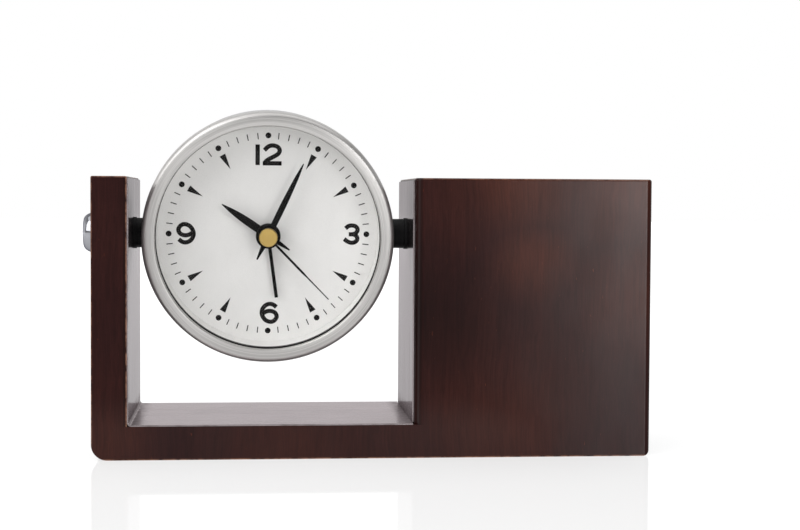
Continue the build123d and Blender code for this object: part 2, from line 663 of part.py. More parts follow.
def bar_hand(tip, width, bar, hub_radius, front):
    """Straight bar with no tail and a round hub, pointing at 12."""
    side = [(width / 2 * share, tip * place) for place, share in bar]
    other_side = [(-x, y) for x, y in reversed(side)]
    hand = extrude(make_face(Polyline(*side, *other_side, close=True)), HAND_THICKNESS)
    return Pos(0, 0, front - HAND_THICKNESS) * (hand + disc(hub_radius, 0, HAND_THICKNESS))


def at_clock_angle(shape, degrees):
    """Turn a hand clockwise from 12."""
    return Rot(0, 0, -degrees) * shape


def make_hands():
    """The four hands and the cap, each bored for its pipe or arbor."""
    bores = {
        "minute_hand": MINUTE_PIPE_RADIUS,
        "hour_hand": HOUR_PIPE_RADIUS,
        "alarm_hand": ALARM_PIPE_RADIUS,
        "seconds_hand": SECONDS_ARBOR_RADIUS,
    }
    minute, hour = MINUTE_HAND, HOUR_HAND
    seconds, alarm = SECONDS_HAND, ALARM_HAND
    hands = {
        "minute_hand": at_clock_angle(
            leaf_hand(
                minute["tip"], minute["tail"], minute["width"], MINUTE_BLADE, MINUTE_HAND_FRONT,
            ),
            minute["angle"],
        ),
        "hour_hand": at_clock_angle(
            leaf_hand(hour["tip"], hour["tail"], hour["width"], HOUR_BLADE, HOUR_HAND_FRONT),
            hour["angle"],
        ),
        "alarm_hand": at_clock_angle(
            bar_hand(alarm["tip"], alarm["width"], ALARM_BAR, ALARM_HUB_RADIUS, ALARM_HAND_FRONT),
            alarm["angle"],
        ),
        "seconds_hand": at_clock_angle(
            bar_hand(
                seconds["tip"], seconds["width"], SECONDS_BAR, SECONDS_HUB_RADIUS,
                SECONDS_HAND_FRONT,
            ),
            seconds["angle"],
        ),
    }
    for name, radius in bores.items():
        hands[name] -= disc(radius, 0, CAP_FRONT)
    hands["hand_cap"] = make_cap()
    return hands


def make_cap():
    """Flat brass cap over the seconds hand's hub, seated on the arbor."""
    cap = disc(CAP_RADIUS, SECONDS_HAND_FRONT, CAP_FRONT)
    cap = chamfer(cap.edges().group_by(Axis.Z)[-1], CAP_CHAMFER)
    return cap - disc(SECONDS_ARBOR_RADIUS, 0, SECONDS_HAND_FRONT + HAND_THICKNESS)


# Wheel train

def gear(teeth, module, front, thickness, phase=0.0, x=0.0, y=0.0):
    """Spur gear whose first tooth points at phase degrees from +x."""
    pitch_radius = teeth * module / 2
    tip = pitch_radius + TOOTH_ADDENDUM * module
    root = pitch_radius - TOOTH_DEDENDUM * module
    pitch = 360 / teeth
    corners = ((root, -TOOTH_ROOT_SHARE), (tip, -TOOTH_TIP_SHARE),
               (tip, TOOTH_TIP_SHARE), (root, TOOTH_ROOT_SHARE))
    points = [
        polar(radius, phase + (tooth + share) * pitch)
        for tooth in range(teeth)
        for radius, share in corners
    ]
    blank = extrude(make_face(Polyline(*points, close=True)), thickness)
    return Pos(x, y, front - thickness) * blank


def meshed_phase(driver_teeth, driver_phase, direction, driven_teeth):
    """Phase of a gear that lies in a direction from its driver and meshes."""
    driver_share = (driver_phase - direction) / (360 / driver_teeth)
    return direction + 180 - (driver_share + 0.5) * 360 / driven_teeth


def module_for(distance, teeth_a, teeth_b):
    """Tooth size that puts two gears' centres a distance apart."""
    return 2 * distance / (teeth_a + teeth_b)


def make_centre_wheels():
    """Seconds, minute, hour and alarm wheels, one inside the next."""
    train_module = module_for(THIRD_CENTRE_DISTANCE, SECONDS_PINION_TEETH, THIRD_TEETH)
    motion_module = module_for(SET_CENTRE_DISTANCE, MINUTE_PINION_TEETH, MOTION_TEETH)
    hour_module = module_for(SET_CENTRE_DISTANCE, MOTION_PINION_TEETH, HOUR_TEETH)
    alarm_module = module_for(SET_CENTRE_DISTANCE, ALARM_TEETH, ALARM_SET_TEETH)
    fast_module = module_for(INTERMEDIATE_CENTRE_DISTANCE, SECONDS_TEETH, INTERMEDIATE_PINION_TEETH)

    seconds = gear(SECONDS_TEETH, fast_module, SECONDS_LAYER, WHEEL_THICKNESS)
    seconds += gear(SECONDS_PINION_TEETH, train_module, SECONDS_PINION_LAYER, PINION_THICKNESS)
    arbor_back = SECONDS_LAYER - WHEEL_THICKNESS
    seconds += disc(SECONDS_ARBOR_RADIUS, arbor_back, SECONDS_HAND_FRONT + HAND_THICKNESS)

    minute_phase = meshed_phase(THIRD_PINION_TEETH, 0, -90, MINUTE_TEETH)
    minute = gear(MINUTE_TEETH, MINUTE_MODULE, MINUTE_LAYER, WHEEL_THICKNESS, minute_phase)
    minute += gear(MINUTE_PINION_TEETH, motion_module, MINUTE_PINION_LAYER, PINION_THICKNESS)
    minute_low = MINUTE_LAYER - WHEEL_THICKNESS
    minute += disc(MINUTE_PIPE_RADIUS, minute_low, MINUTE_HAND_FRONT)
    minute -= disc(MINUTE_PIPE_BORE, minute_low - OVERCUT, MINUTE_HAND_FRONT + OVERCUT)

    hour_phase = meshed_phase(MOTION_PINION_TEETH, 0, 0, HOUR_TEETH)
    hour = gear(HOUR_TEETH, hour_module, HOUR_LAYER, WHEEL_THICKNESS, hour_phase)
    hour_low = HOUR_LAYER - WHEEL_THICKNESS
    hour += disc(HOUR_PIPE_RADIUS, hour_low, HOUR_HAND_FRONT)
    hour -= disc(HOUR_PIPE_BORE, hour_low - OVERCUT, HOUR_HAND_FRONT + OVERCUT)

    alarm = gear(ALARM_TEETH, alarm_module, ALARM_LAYER, WHEEL_THICKNESS)
    alarm_low = ALARM_LAYER - WHEEL_THICKNESS
    alarm += disc(ALARM_PIPE_RADIUS, alarm_low, ALARM_HAND_FRONT)
    alarm -= disc(ALARM_PIPE_BORE, alarm_low - OVERCUT, ALARM_HAND_FRONT + OVERCUT)
    return {
        "seconds_wheel": seconds,
        "minute_wheel": minute,
        "hour_wheel": hour,
        "alarm_wheel": alarm,
    }


def make_third_wheel():
    """Wheel and pinion that join the seconds wheel to the minute wheel."""
    x, y = 0.0, THIRD_CENTRE_DISTANCE
    train_module = module_for(THIRD_CENTRE_DISTANCE, SECONDS_PINION_TEETH, THIRD_TEETH)
    phase = meshed_phase(SECONDS_PINION_TEETH, 0, 90, THIRD_TEETH)
    wheel_front = SECONDS_PINION_LAYER - (PINION_THICKNESS - WHEEL_THICKNESS) / 2
    wheel = gear(THIRD_TEETH, train_module, wheel_front, WHEEL_THICKNESS, phase, x, y)
    pinion_front = MINUTE_LAYER + (PINION_THICKNESS - WHEEL_THICKNESS) / 2
    wheel += gear(THIRD_PINION_TEETH, MINUTE_MODULE, pinion_front, PINION_THICKNESS, 0, x, y)
    return wheel + disc(ARBOR_RADIUS, MIDDLE_PLATE_BACK, DIAL_BACK - FACE_CLEARANCE, x, y)


def make_intermediate_wheel():
    """Wheel and pinion that join the rotor to the seconds wheel."""
    x, y = 0.0, INTERMEDIATE_CENTRE_DISTANCE
    fast_module = module_for(INTERMEDIATE_CENTRE_DISTANCE, SECONDS_TEETH, INTERMEDIATE_PINION_TEETH)
    rotor_module = module_for(ROTOR_CENTRE_DISTANCE, ROTOR_PINION_TEETH, INTERMEDIATE_TEETH)
    pinion_phase = meshed_phase(SECONDS_TEETH, 0, 90, INTERMEDIATE_PINION_TEETH)
    pinion_front = SECONDS_LAYER + (PINION_THICKNESS - WHEEL_THICKNESS) / 2
    wheel = gear(
        INTERMEDIATE_PINION_TEETH, fast_module, pinion_front, PINION_THICKNESS, pinion_phase, x, y,
    )
    wheel += gear(
        INTERMEDIATE_TEETH, rotor_module, INTERMEDIATE_LAYER, WHEEL_THICKNESS, 0, x, y,
    )
    return wheel + disc(ARBOR_RADIUS, MOVEMENT_BACK, MIDDLE_PLATE_FRONT, x, y)


def rotor_place():
    """Centre of the rotor, above the intermediate wheel."""
    return 0.0, ROTOR_HEIGHT


def make_rotor():
    """Round magnet and pinion of the stepping motor."""
    x, y = rotor_place()
    rotor_module = module_for(ROTOR_CENTRE_DISTANCE, ROTOR_PINION_TEETH, INTERMEDIATE_TEETH)
    phase = meshed_phase(INTERMEDIATE_TEETH, 0, 90, ROTOR_PINION_TEETH)
    pinion_front = INTERMEDIATE_LAYER + (PINION_THICKNESS - WHEEL_THICKNESS) / 2
    rotor = gear(ROTOR_PINION_TEETH, rotor_module, pinion_front, PINION_THICKNESS, phase, x, y)
    rotor += disc(ROTOR_RADIUS, ROTOR_FRONT - ROTOR_LENGTH, ROTOR_FRONT, x, y)
    return rotor + disc(ARBOR_RADIUS, MOVEMENT_BACK, MIDDLE_PLATE_FRONT, x, y)


def make_motion_wheel():
    """Wheel, pinion and stem: the time-setting knob turns on the same stem."""
    x, y = set_stem_places()["time"]
    motion_module = module_for(SET_CENTRE_DISTANCE, MINUTE_PINION_TEETH, MOTION_TEETH)
    hour_module = module_for(SET_CENTRE_DISTANCE, MOTION_PINION_TEETH, HOUR_TEETH)
    phase = meshed_phase(MINUTE_PINION_TEETH, 0, 180, MOTION_TEETH)
    wheel_front = MINUTE_PINION_LAYER - (PINION_THICKNESS - WHEEL_THICKNESS) / 2
    wheel = gear(MOTION_TEETH, motion_module, wheel_front, WHEEL_THICKNESS, phase, x, y)
    pinion_front = HOUR_LAYER + (PINION_THICKNESS - WHEEL_THICKNESS) / 2
    wheel += gear(MOTION_PINION_TEETH, hour_module, pinion_front, PINION_THICKNESS, 0, x, y)
    return wheel + set_stem(x, y)


def make_alarm_set_wheel():
    """Wheel and stem turned by the alarm-setting knob."""
    x, y = set_stem_places()["alarm"]
    alarm_module = module_for(SET_CENTRE_DISTANCE, ALARM_TEETH, ALARM_SET_TEETH)
    phase = meshed_phase(ALARM_TEETH, 0, 0, ALARM_SET_TEETH)
    wheel = gear(ALARM_SET_TEETH, alarm_module, ALARM_LAYER, WHEEL_THICKNESS, phase, x, y)
    return wheel + set_stem(x, y)


def set_stem(x, y):
    """Stem from the front plate to the inside of its knob on the back."""
    knob_middle = CASE_BACK - KNOB_GAP - KNOB_THICKNESS / 2
    return disc(SET_STEM_RADIUS, knob_middle, DIAL_BACK - FACE_CLEARANCE, x, y)


def make_knob(x, y):
    """Ribbed setting knob, pressed on its stem."""
    high = CASE_BACK - KNOB_GAP
    low = high - KNOB_THICKNESS
    pitch = 360 / KNOB_RIBS
    inner = KNOB_RADIUS - KNOB_RIB_DEPTH
    corners = ((inner, -KNOB_RIB_ROOT_SHARE), (KNOB_RADIUS, -KNOB_RIB_TIP_SHARE),
               (KNOB_RADIUS, KNOB_RIB_TIP_SHARE), (inner, KNOB_RIB_ROOT_SHARE))
    points = [
        polar(radius, (rib + share) * pitch)
        for rib in range(KNOB_RIBS)
        for radius, share in corners
    ]
    knob = Pos(x, y, low) * extrude(make_face(Polyline(*points, close=True)), KNOB_THICKNESS)
    return knob - disc(SET_STEM_RADIUS, high - KNOB_THICKNESS / 2, high + OVERCUT, x, y)


# Movement housing and what is fixed in it

def housing_outline(shrink):
    """Outline of the movement, drawn in by an amount all round."""
    width = 2 * (MOVEMENT_HALF_WIDTH - shrink)
    height = MOVEMENT_TOP - MOVEMENT_BOTTOM - 2 * shrink
    middle = (MOVEMENT_TOP + MOVEMENT_BOTTOM) / 2
    return Pos(0, middle) * RectangleRounded(width, height, MOVEMENT_CORNER - shrink)


def train_holes(low, high):
    """Pivot holes for the arbors that stand behind each other in the train."""
    holes = disc(ARBOR_RADIUS + RUNNING_FIT, low, high, 0, THIRD_CENTRE_DISTANCE)
    for x, y in set_stem_places().values():
        holes += disc(SET_STEM_RADIUS + RUNNING_FIT, low, high, x, y)
    return holes


def make_front_plate():
    """Front of the movement, with the bush that passes through the dial."""
    plate = Pos(0, 0, PLATE_BACK) * extrude(housing_outline(0), MOVEMENT_PLATE_THICKNESS)
    plate += disc(SPINDLE_BUSH_RADIUS, PLATE_BACK, SPINDLE_BUSH_FRONT)
    plate -= disc(SPINDLE_BUSH_BORE, PLATE_BACK - OVERCUT, SPINDLE_BUSH_FRONT + OVERCUT)
    return plate - train_holes(PLATE_BACK - OVERCUT, DIAL_BACK + OVERCUT)


def make_movement_case():
    """Rear tray of the movement, with the battery bay open at the back."""
    depth = PLATE_BACK - MOVEMENT_BACK
    case = Pos(0, 0, MOVEMENT_BACK) * extrude(housing_outline(0), depth)
    hollow = Pos(0, 0, MOVEMENT_BACK_INNER) * extrude(housing_outline(MOVEMENT_WALL), depth)
    partition = block(
        -MOVEMENT_HALF_WIDTH, MOVEMENT_HALF_WIDTH,
        GEAR_BAY_BOTTOM - PARTITION, GEAR_BAY_BOTTOM, MOVEMENT_BACK, PLATE_BACK,
    )
    case = (case - hollow) + (partition & case)
    low, high = MOVEMENT_BACK - OVERCUT, MOVEMENT_BACK_INNER + OVERCUT
    case -= block(
        -MOVEMENT_HALF_WIDTH + MOVEMENT_WALL, MOVEMENT_HALF_WIDTH - MOVEMENT_WALL,
        MOVEMENT_BOTTOM + MOVEMENT_WALL, GEAR_BAY_BOTTOM - PARTITION, low, high,
    )
    for x, y in set_stem_places().values():
        case -= disc(SET_STEM_RADIUS + RUNNING_FIT, low, high, x, y)
    for x, y in ((0.0, INTERMEDIATE_CENTRE_DISTANCE), rotor_place()):
        case -= disc(ARBOR_RADIUS + RUNNING_FIT, low, high, x, y)
    return case - switch_slot(low, high)


def make_middle_plate():
    """Plate across the gear bay that carries the inner pivots."""
    half_width = MOVEMENT_HALF_WIDTH - MOVEMENT_WALL
    plate = block(
        -half_width, half_width, GEAR_BAY_BOTTOM, MIDDLE_PLATE_TOP,
        MIDDLE_PLATE_BACK, MIDDLE_PLATE_FRONT,
    )
    low, high = MIDDLE_PLATE_BACK - OVERCUT, MIDDLE_PLATE_FRONT + OVERCUT
    plate -= train_holes(low, high)
    plate -= disc(SECONDS_ARBOR_RADIUS + RUNNING_FIT, low, high)
    for x, y in ((0.0, INTERMEDIATE_CENTRE_DISTANCE), rotor_place()):
        plate -= disc(ARBOR_RADIUS + RUNNING_FIT, low, high, x, y)
    return plate


def stator_layer():
    """Back and front of the stator plate, level with the rotor's middle."""
    middle = ROTOR_FRONT - ROTOR_LENGTH / 2
    return middle - STATOR_THICKNESS / 2, middle + STATOR_THICKNESS / 2


def make_stator():
    """U-shaped plate that leads the coil's field round the rotor."""
    low, high = stator_layer()
    x, y = rotor_place()
    bridge = block(
        -STATOR_HALF_WIDTH, STATOR_HALF_WIDTH,
        y - STATOR_BRIDGE / 2, y + STATOR_BRIDGE / 2, low, high,
    )
    legs = [
        block(
            side * STATOR_HALF_WIDTH - STATOR_LEG / 2, side * STATOR_HALF_WIDTH + STATOR_LEG / 2,
            y - STATOR_BRIDGE / 2, COIL_HEIGHT + CORE_WIDTH / 2, low, high,
        )
        for side in (-1, 1)
    ]
    plate = bridge + legs[0] + legs[1]
    return plate - disc(ROTOR_RADIUS + SEAT_GAP, low - OVERCUT, high + OVERCUT, x, y)


def make_coil_core():
    """Flat iron bar through the coil, lying on the stator's two legs."""
    high = stator_layer()[0]
    return block(
        -STATOR_REACH, STATOR_REACH, COIL_HEIGHT - CORE_WIDTH / 2, COIL_HEIGHT + CORE_WIDTH / 2,
        MOVEMENT_BACK_INNER, high,
    )


def make_coil():
    """Bobbin with its winding, wound round the iron bar."""
    low = MOVEMENT_BACK_INNER
    core_high = stator_layer()[0]
    high = core_high + COIL_RADIUS
    half = COIL_LENGTH / 2
    winding = block(
        -half, half, COIL_HEIGHT - COIL_RADIUS + COIL_FLANGE, COIL_HEIGHT + COIL_RADIUS - COIL_FLANGE,
        low, high - COIL_FLANGE,
    )
    coil = fillet(winding.edges().filter_by(Axis.X).group_by(Axis.Z)[-1], COIL_FLANGE)
    for side in (-1, 1):
        x0, x1 = sorted((side * half, side * (half + COIL_FLANGE)))
        coil += block(x0, x1, COIL_HEIGHT - COIL_RADIUS, COIL_HEIGHT + COIL_RADIUS, low, high)
    bore = block(
        -half - COIL_FLANGE - OVERCUT, half + COIL_FLANGE + OVERCUT,
        COIL_HEIGHT - CORE_WIDTH / 2, COIL_HEIGHT + CORE_WIDTH / 2, low - OVERCUT, core_high,
    )
    return coil - bore


def board_corner():
    """Left and lower corner of the circuit board."""
    left = -MOVEMENT_HALF_WIDTH + MOVEMENT_WALL + BOARD_MARGIN
    return left, MOVEMENT_TOP - MOVEMENT_WALL - BOARD_MARGIN - BOARD_HEIGHT


def make_electronics():
    """Circuit board with its crystal and its sealed chip."""
    left, bottom = board_corner()
    low = MOVEMENT_BACK_INNER
    high = low + BOARD_THICKNESS
    board = block(left, left + BOARD_WIDTH, bottom, bottom + BOARD_HEIGHT, low, high)
    crystal_x = left + BOARD_WIDTH * CRYSTAL_PLACE[0]
    crystal_y = bottom + BOARD_HEIGHT * CRYSTAL_PLACE[1]
    crystal = Rot(90, 0, 0) * Cylinder(CRYSTAL_RADIUS, CRYSTAL_LENGTH)
    crystal = Pos(crystal_x, crystal_y, high + CRYSTAL_RADIUS) * crystal
    chip_x = left + BOARD_WIDTH * CHIP_PLACE[0]
    chip_y = bottom + BOARD_HEIGHT * CHIP_PLACE[1]
    chip = disc(CHIP_RADIUS, high, high + CHIP_HEIGHT, chip_x, chip_y)
    return {"circuit_board": board, "quartz_crystal": crystal, "driver_chip": chip}


def make_buzzer():
    """Round sounder behind the sound holes."""
    low = MOVEMENT_BACK_INNER
    return disc(BUZZER_RADIUS, low, low + BUZZER_THICKNESS, *BUZZER_CENTRE)


def make_battery():
    """Cylindrical cell with its nub towards the right."""
    half = BATTERY_LENGTH / 2
    cell = side_bar(BATTERY_RADIUS, -half, half, BATTERY_AXIS, BATTERY_DEPTH)
    nub = side_bar(
        BATTERY_NUB_RADIUS, half, half + BATTERY_NUB_LENGTH, BATTERY_AXIS, BATTERY_DEPTH,
    )
    return cell + nub


def make_contacts():
    """Two sprung contact plates, one at each end of the battery."""
    wall = MOVEMENT_HALF_WIDTH - MOVEMENT_WALL
    ends = {
        "battery_contact_plus": (1, BATTERY_LENGTH / 2 + BATTERY_NUB_LENGTH),
        "battery_contact_minus": (-1, BATTERY_LENGTH / 2),
    }
    contacts = {}
    for name, (side, battery_end) in ends.items():
        x0, x1 = sorted((side * (wall - CONTACT_THICKNESS), side * wall))
        half = CONTACT_SIZE / 2
        plate = block(
            x0, x1, BATTERY_AXIS - half, BATTERY_AXIS + half,
            BATTERY_DEPTH - half, BATTERY_DEPTH + half,
        )
        tip0, tip1 = sorted((side * battery_end, side * wall))
        contacts[name] = plate + side_bar(half / 2, tip0, tip1, BATTERY_AXIS, BATTERY_DEPTH)
    return contacts


def make_alarm_switch():
    """Slider that arms the alarm, its stem in the cover's slot."""
    width, height = SWITCH_CAP
    stem_width, stem_height = SWITCH_STEM
    cap_high = CASE_BACK - FACE_CLEARANCE
    cap = block(
        -width / 2, width / 2, SWITCH_HEIGHT - height / 2, SWITCH_HEIGHT + height / 2,
        cap_high - SWITCH_CAP_THICKNESS, cap_high,
    )
    cap = chamfer(cap.edges().group_by(Axis.Z)[0], SWITCH_CHAMFER)
    stem = block(
        -stem_width / 2, stem_width / 2,
        SWITCH_HEIGHT - stem_height / 2, SWITCH_HEIGHT + stem_height / 2,
        cap_high, MOVEMENT_BACK + SWITCH_STEM_REACH,
    )
    return cap + stem


def make_clock():
    """Write every piece of the clock, drawn in its own frame."""
    left_wood = PIVOT_X - LEFT
    right_wood = BOX_LEFT + BOX_WALL - PIVOT_X
    pieces = {
        "pivot_screw_left": make_pivot_screw(-1, left_wood),
        "pivot_screw_right": make_pivot_screw(1, right_wood),
        "spacer_left": make_spacer(-1),
        "spacer_right": make_spacer(1),
        "bezel": make_bezel(),
        "case_shell": make_case_shell(),
        "lens": make_lens(),
        "dial": make_dial(),
        "back_cover": make_back_cover(),
        "cover_screws": make_cover_screws(),
        "battery_door": make_battery_door(),
        "movement_front_plate": make_front_plate(),
        "movement_case": make_movement_case(),
        "middle_plate": make_middle_plate(),
        "third_wheel": make_third_wheel(),
        "intermediate_wheel": make_intermediate_wheel(),
        "rotor": make_rotor(),
        "motion_wheel": make_motion_wheel(),
        "alarm_set_wheel": make_alarm_set_wheel(),
        "time_knob": make_knob(*set_stem_places()["time"]),
        "alarm_knob": make_knob(*set_stem_places()["alarm"]),
        "stator": make_stator(),
        "coil_core": make_coil_core(),
        "coil": make_coil(),
        "buzzer": make_buzzer(),
        "battery": make_battery(),
        "alarm_switch": make_alarm_switch(),
    }
    pieces.update(make_centre_wheels())
    pieces.update(make_hands())
    pieces.update(make_electronics())
    pieces.update(make_contacts())
    for name, piece in pieces.items():
        save_on_clock(name, piece)


os.makedirs("parts", exist_ok=True)
make_stand()
make_clock()
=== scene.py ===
import math

import bmesh
import bpy
from mathutils import Euler, Matrix, Vector
from mathutils.geometry import interpolate_bezier


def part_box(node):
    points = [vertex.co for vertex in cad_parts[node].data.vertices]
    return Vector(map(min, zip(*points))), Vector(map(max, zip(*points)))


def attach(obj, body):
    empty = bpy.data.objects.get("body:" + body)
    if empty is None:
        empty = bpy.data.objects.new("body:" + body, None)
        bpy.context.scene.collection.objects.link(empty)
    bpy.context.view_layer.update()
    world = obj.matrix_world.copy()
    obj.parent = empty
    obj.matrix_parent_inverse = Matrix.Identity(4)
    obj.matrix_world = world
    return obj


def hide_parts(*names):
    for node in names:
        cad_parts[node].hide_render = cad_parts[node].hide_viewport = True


bl_info = {
    "name": "Swivel Desk Clock",
    "version": (1, 0, 0),
    "blender": (4, 5, 0),
    "location": "View3D > Sidebar > Desk Clock",
    "description": "Dresses a swivelling alarm clock in its wooden stand with a pen box",
    "category": "Add Mesh",
}

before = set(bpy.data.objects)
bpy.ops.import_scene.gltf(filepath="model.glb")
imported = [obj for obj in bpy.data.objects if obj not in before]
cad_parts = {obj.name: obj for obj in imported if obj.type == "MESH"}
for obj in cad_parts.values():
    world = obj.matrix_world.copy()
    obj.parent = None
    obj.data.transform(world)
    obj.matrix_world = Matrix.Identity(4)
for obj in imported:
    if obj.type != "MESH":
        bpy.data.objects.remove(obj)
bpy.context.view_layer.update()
MM = 0.001
WHOLE_TURN = 2 * math.pi
QUARTER_TURN = math.pi / 2
# Edges sharper than this keep a crisp line in the shading
SHARP_EDGE = math.radians(40)
# Cut edges of the sheet, which are rounded, are sharper than this
CUT_EDGE = math.radians(60)
# Points nearer than this, in metres, become one
MERGE_DISTANCE = 1e-7
# Share of the radius that lets a Bezier curve follow a quarter of a circle
ROUND_HANDLE = 0.5523

# Middle in mm, radius in mm and strength of warm, lighter patches; they are stain variation, and
# those along the box's top and right are also painted light
WARM_PATCHES = (
    ((54, -30, 68), 20, 0.22),
    ((42, -30, 8), 36, 0.1),
    ((30, -30, 90), 26, 0.08),
    ((50, -30, 96), 30, 0.28),
    ((88, -30, 96), 34, 0.25),
    ((92, -30, 56), 30, 0.16),
    ((-88, -30, 5), 18, 0.1),
    ((-30, -30, 3), 40, 0.08),
)
# The same for the one place on the box's left that is made darker
DARK_PATCH = ((20, -30, 48), 32, 0.4)
# Tint at grazing angles, brightness, which is painted shade on the upright sheets and painted
# light on the flat one, roughness, strength of the painted dark reflection near the edges and turn
# of the lines
SHEET_LOOKS = {
    "upright": ((0.5, 0.48, 0.49, 1), 0.86, 0.15, 0.65, 0.0),
    "flat": ((0.9, 0.87, 0.88, 1), 1.12, 0.25, 0.2, QUARTER_TURN),
}
# Dark colour of the scuffs and of the painted reflections on the liner
SCUFF_AND_REFLECTION_COLOUR = (0.16, 0.13, 0.13, 1)

# Strokes of the numerals, in mm to the right of the dial's middle and above it
NINE = (
    (-26.5, 0.3), (-27.6, -0.36), (-29.12, -0.58), (-30.7, 0.05), (-31.3, 1.45), (-30.5, 2.85),
    (-29.12, 3.34), (-27.5, 2.8), (-26.4, 1.45), (-26.02, 0.0), (-26.4, -1.5), (-27.5, -2.7),
    (-28.95, -3.12), (-30.2, -2.78), (-31.2, -1.98),
)
# The six is the nine turned half round, then moved by this
NINE_TO_SIX = (-28.16, -28.2)
STROKES = (
    ((-3.715, 31.5), (-3.715, 24.3)),
    ((-1.4, 29.5), (0.02, 30.8), (1.6, 31.18), (3.25, 30.7), (3.95, 29.5), (3.45, 28.3),
     (2.1, 27.4), (0.45, 26.55), (-0.75, 25.7), (-1.23, 24.9)),
    ((-1.93, 24.93), (4.65, 24.93)),
    ((27.28, 2.05), (28.3, 2.85), (29.6, 3.1), (30.95, 2.7), (31.58, 1.6), (31.0, 0.45),
     (29.9, 0.0), (28.45, -0.03)),
    ((29.9, 0.0), (31.0, -0.5), (31.5, -1.6), (30.95, -2.65), (29.55, -3.08), (28.1, -2.65),
     (26.83, -1.72)),
    NINE,
    tuple((NINE_TO_SIX[0] - x, NINE_TO_SIX[1] - y) for x, y in NINE),
)

CAMERA_LENS = 73.09
CAMERA_SENSOR = 36
CAMERA_NEAR = 0.01
CAMERA_PLACE = (-0.0424, -0.5759, 0.0878)
CAMERA_YAW, CAMERA_PITCH, CAMERA_ROLL = (math.radians(angle) for angle in (-5.3, 87.68, 0.32))
FLOOR_HALF_WIDTH = 6.0
# Place, aim, width, height and power of each lamp
SOFTBOXES = {
    "overhead_softbox": ((0.0, -0.1, 1.3), (0, 0, 0.05), 2.0, 1.6, 9.5),
    "left_softbox": ((-0.9, -0.9, 0.9), (-0.03, 0, 0.06), 1.4, 1.4, 14.5),
    "right_softbox": ((0.44, -1.06, 0.2), (0.07, 0, 0.08), 0.25, 0.35, 1.9),
}
# Strength of the surround's plain light, where it isn't seen directly
SOFT_LIGHT = 0.56


# Sizes and colours that a user would change

def linear(red, green, blue):
    """A colour given as 0 to 255 screen values, in the linear values that shaders take."""
    def channel(value):
        share = value / 255
        return share / 12.92 if share <= 0.04045 else ((share + 0.055) / 1.055) ** 2.4

    return channel(red), channel(green), channel(blue)


def node_middle(name):
    """Middle of a CAD node's box."""
    low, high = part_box(name)
    return (low + high) / 2


def half_width(name):
    """Half of a CAD node's width, which is the radius of a round piece that faces forward."""
    low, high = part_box(name)
    return (high.x - low.x) / 2


def length(name, description, millimetres):
    """A size with its name, description and default."""
    return bpy.props.FloatProperty(
        name=name, description=description, default=millimetres * MM, unit="LENGTH", precision=5,
    )


def colour(name, description, *screen):
    """A colour with its name, description and default."""
    return bpy.props.FloatVectorProperty(
        name=name, description=description, default=linear(*screen),
        subtype="COLOR", size=3, min=0, max=1,
    )


class StandSettings(bpy.types.PropertyGroup):
    """Sizes of what is fitted to the wooden stand"""

    sheet_thickness: length("Liner Thickness", "Thickness of the liner sheet", 0.5)
    bend_radius: length("Liner Bend", "Inside radius of the liner's bend", 1.0)
    sheet_edge: length("Liner Edge", "Rounding of the liner's cut edges", 0.08)
    hole_radius: length("Bush Hole", "Radius of the liner's hole for the bush", 3.65)
    head_radius: length("Screw Head Radius", "Radius of the domed screw head", 7.2)
    head_rise: length("Screw Head Rise", "Height of the domed screw head", 5.0)
    seat_depth: length("Seat Depth", "From the CAD head's outer end to its seat", 6.2)
    head_rim: length("Screw Head Rim", "Straight rim under the dome", 0.5)
    head_crown: length("Screw Head Crown", "Radius of the nearly flat crown", 4.4)
    head_edge: length("Screw Edge", "Width of the screw's chamfers", 0.25)
    shank_radius: length("Screw Shank", "Radius of the screw's shank", 2.0)
    # Width of the painted highlight along the wood's edges
    highlight_width: length("Edge Highlight Width", "Width of the rubbed edges of the wood", 0.45)
    # The two turns also set the widths of painted shade in the box's rounded left and right edges
    box_left_turn: length("Box Left Turn", "Width of the rounding on the box's left", 2.7)
    box_right_turn: length("Box Right Turn", "Width of the rounding on the box's right", 1.8)
    # Width of the painted shade on the post's right
    post_shade: length("Post Shade", "Width of the dark strip on the post's right", 1.5)


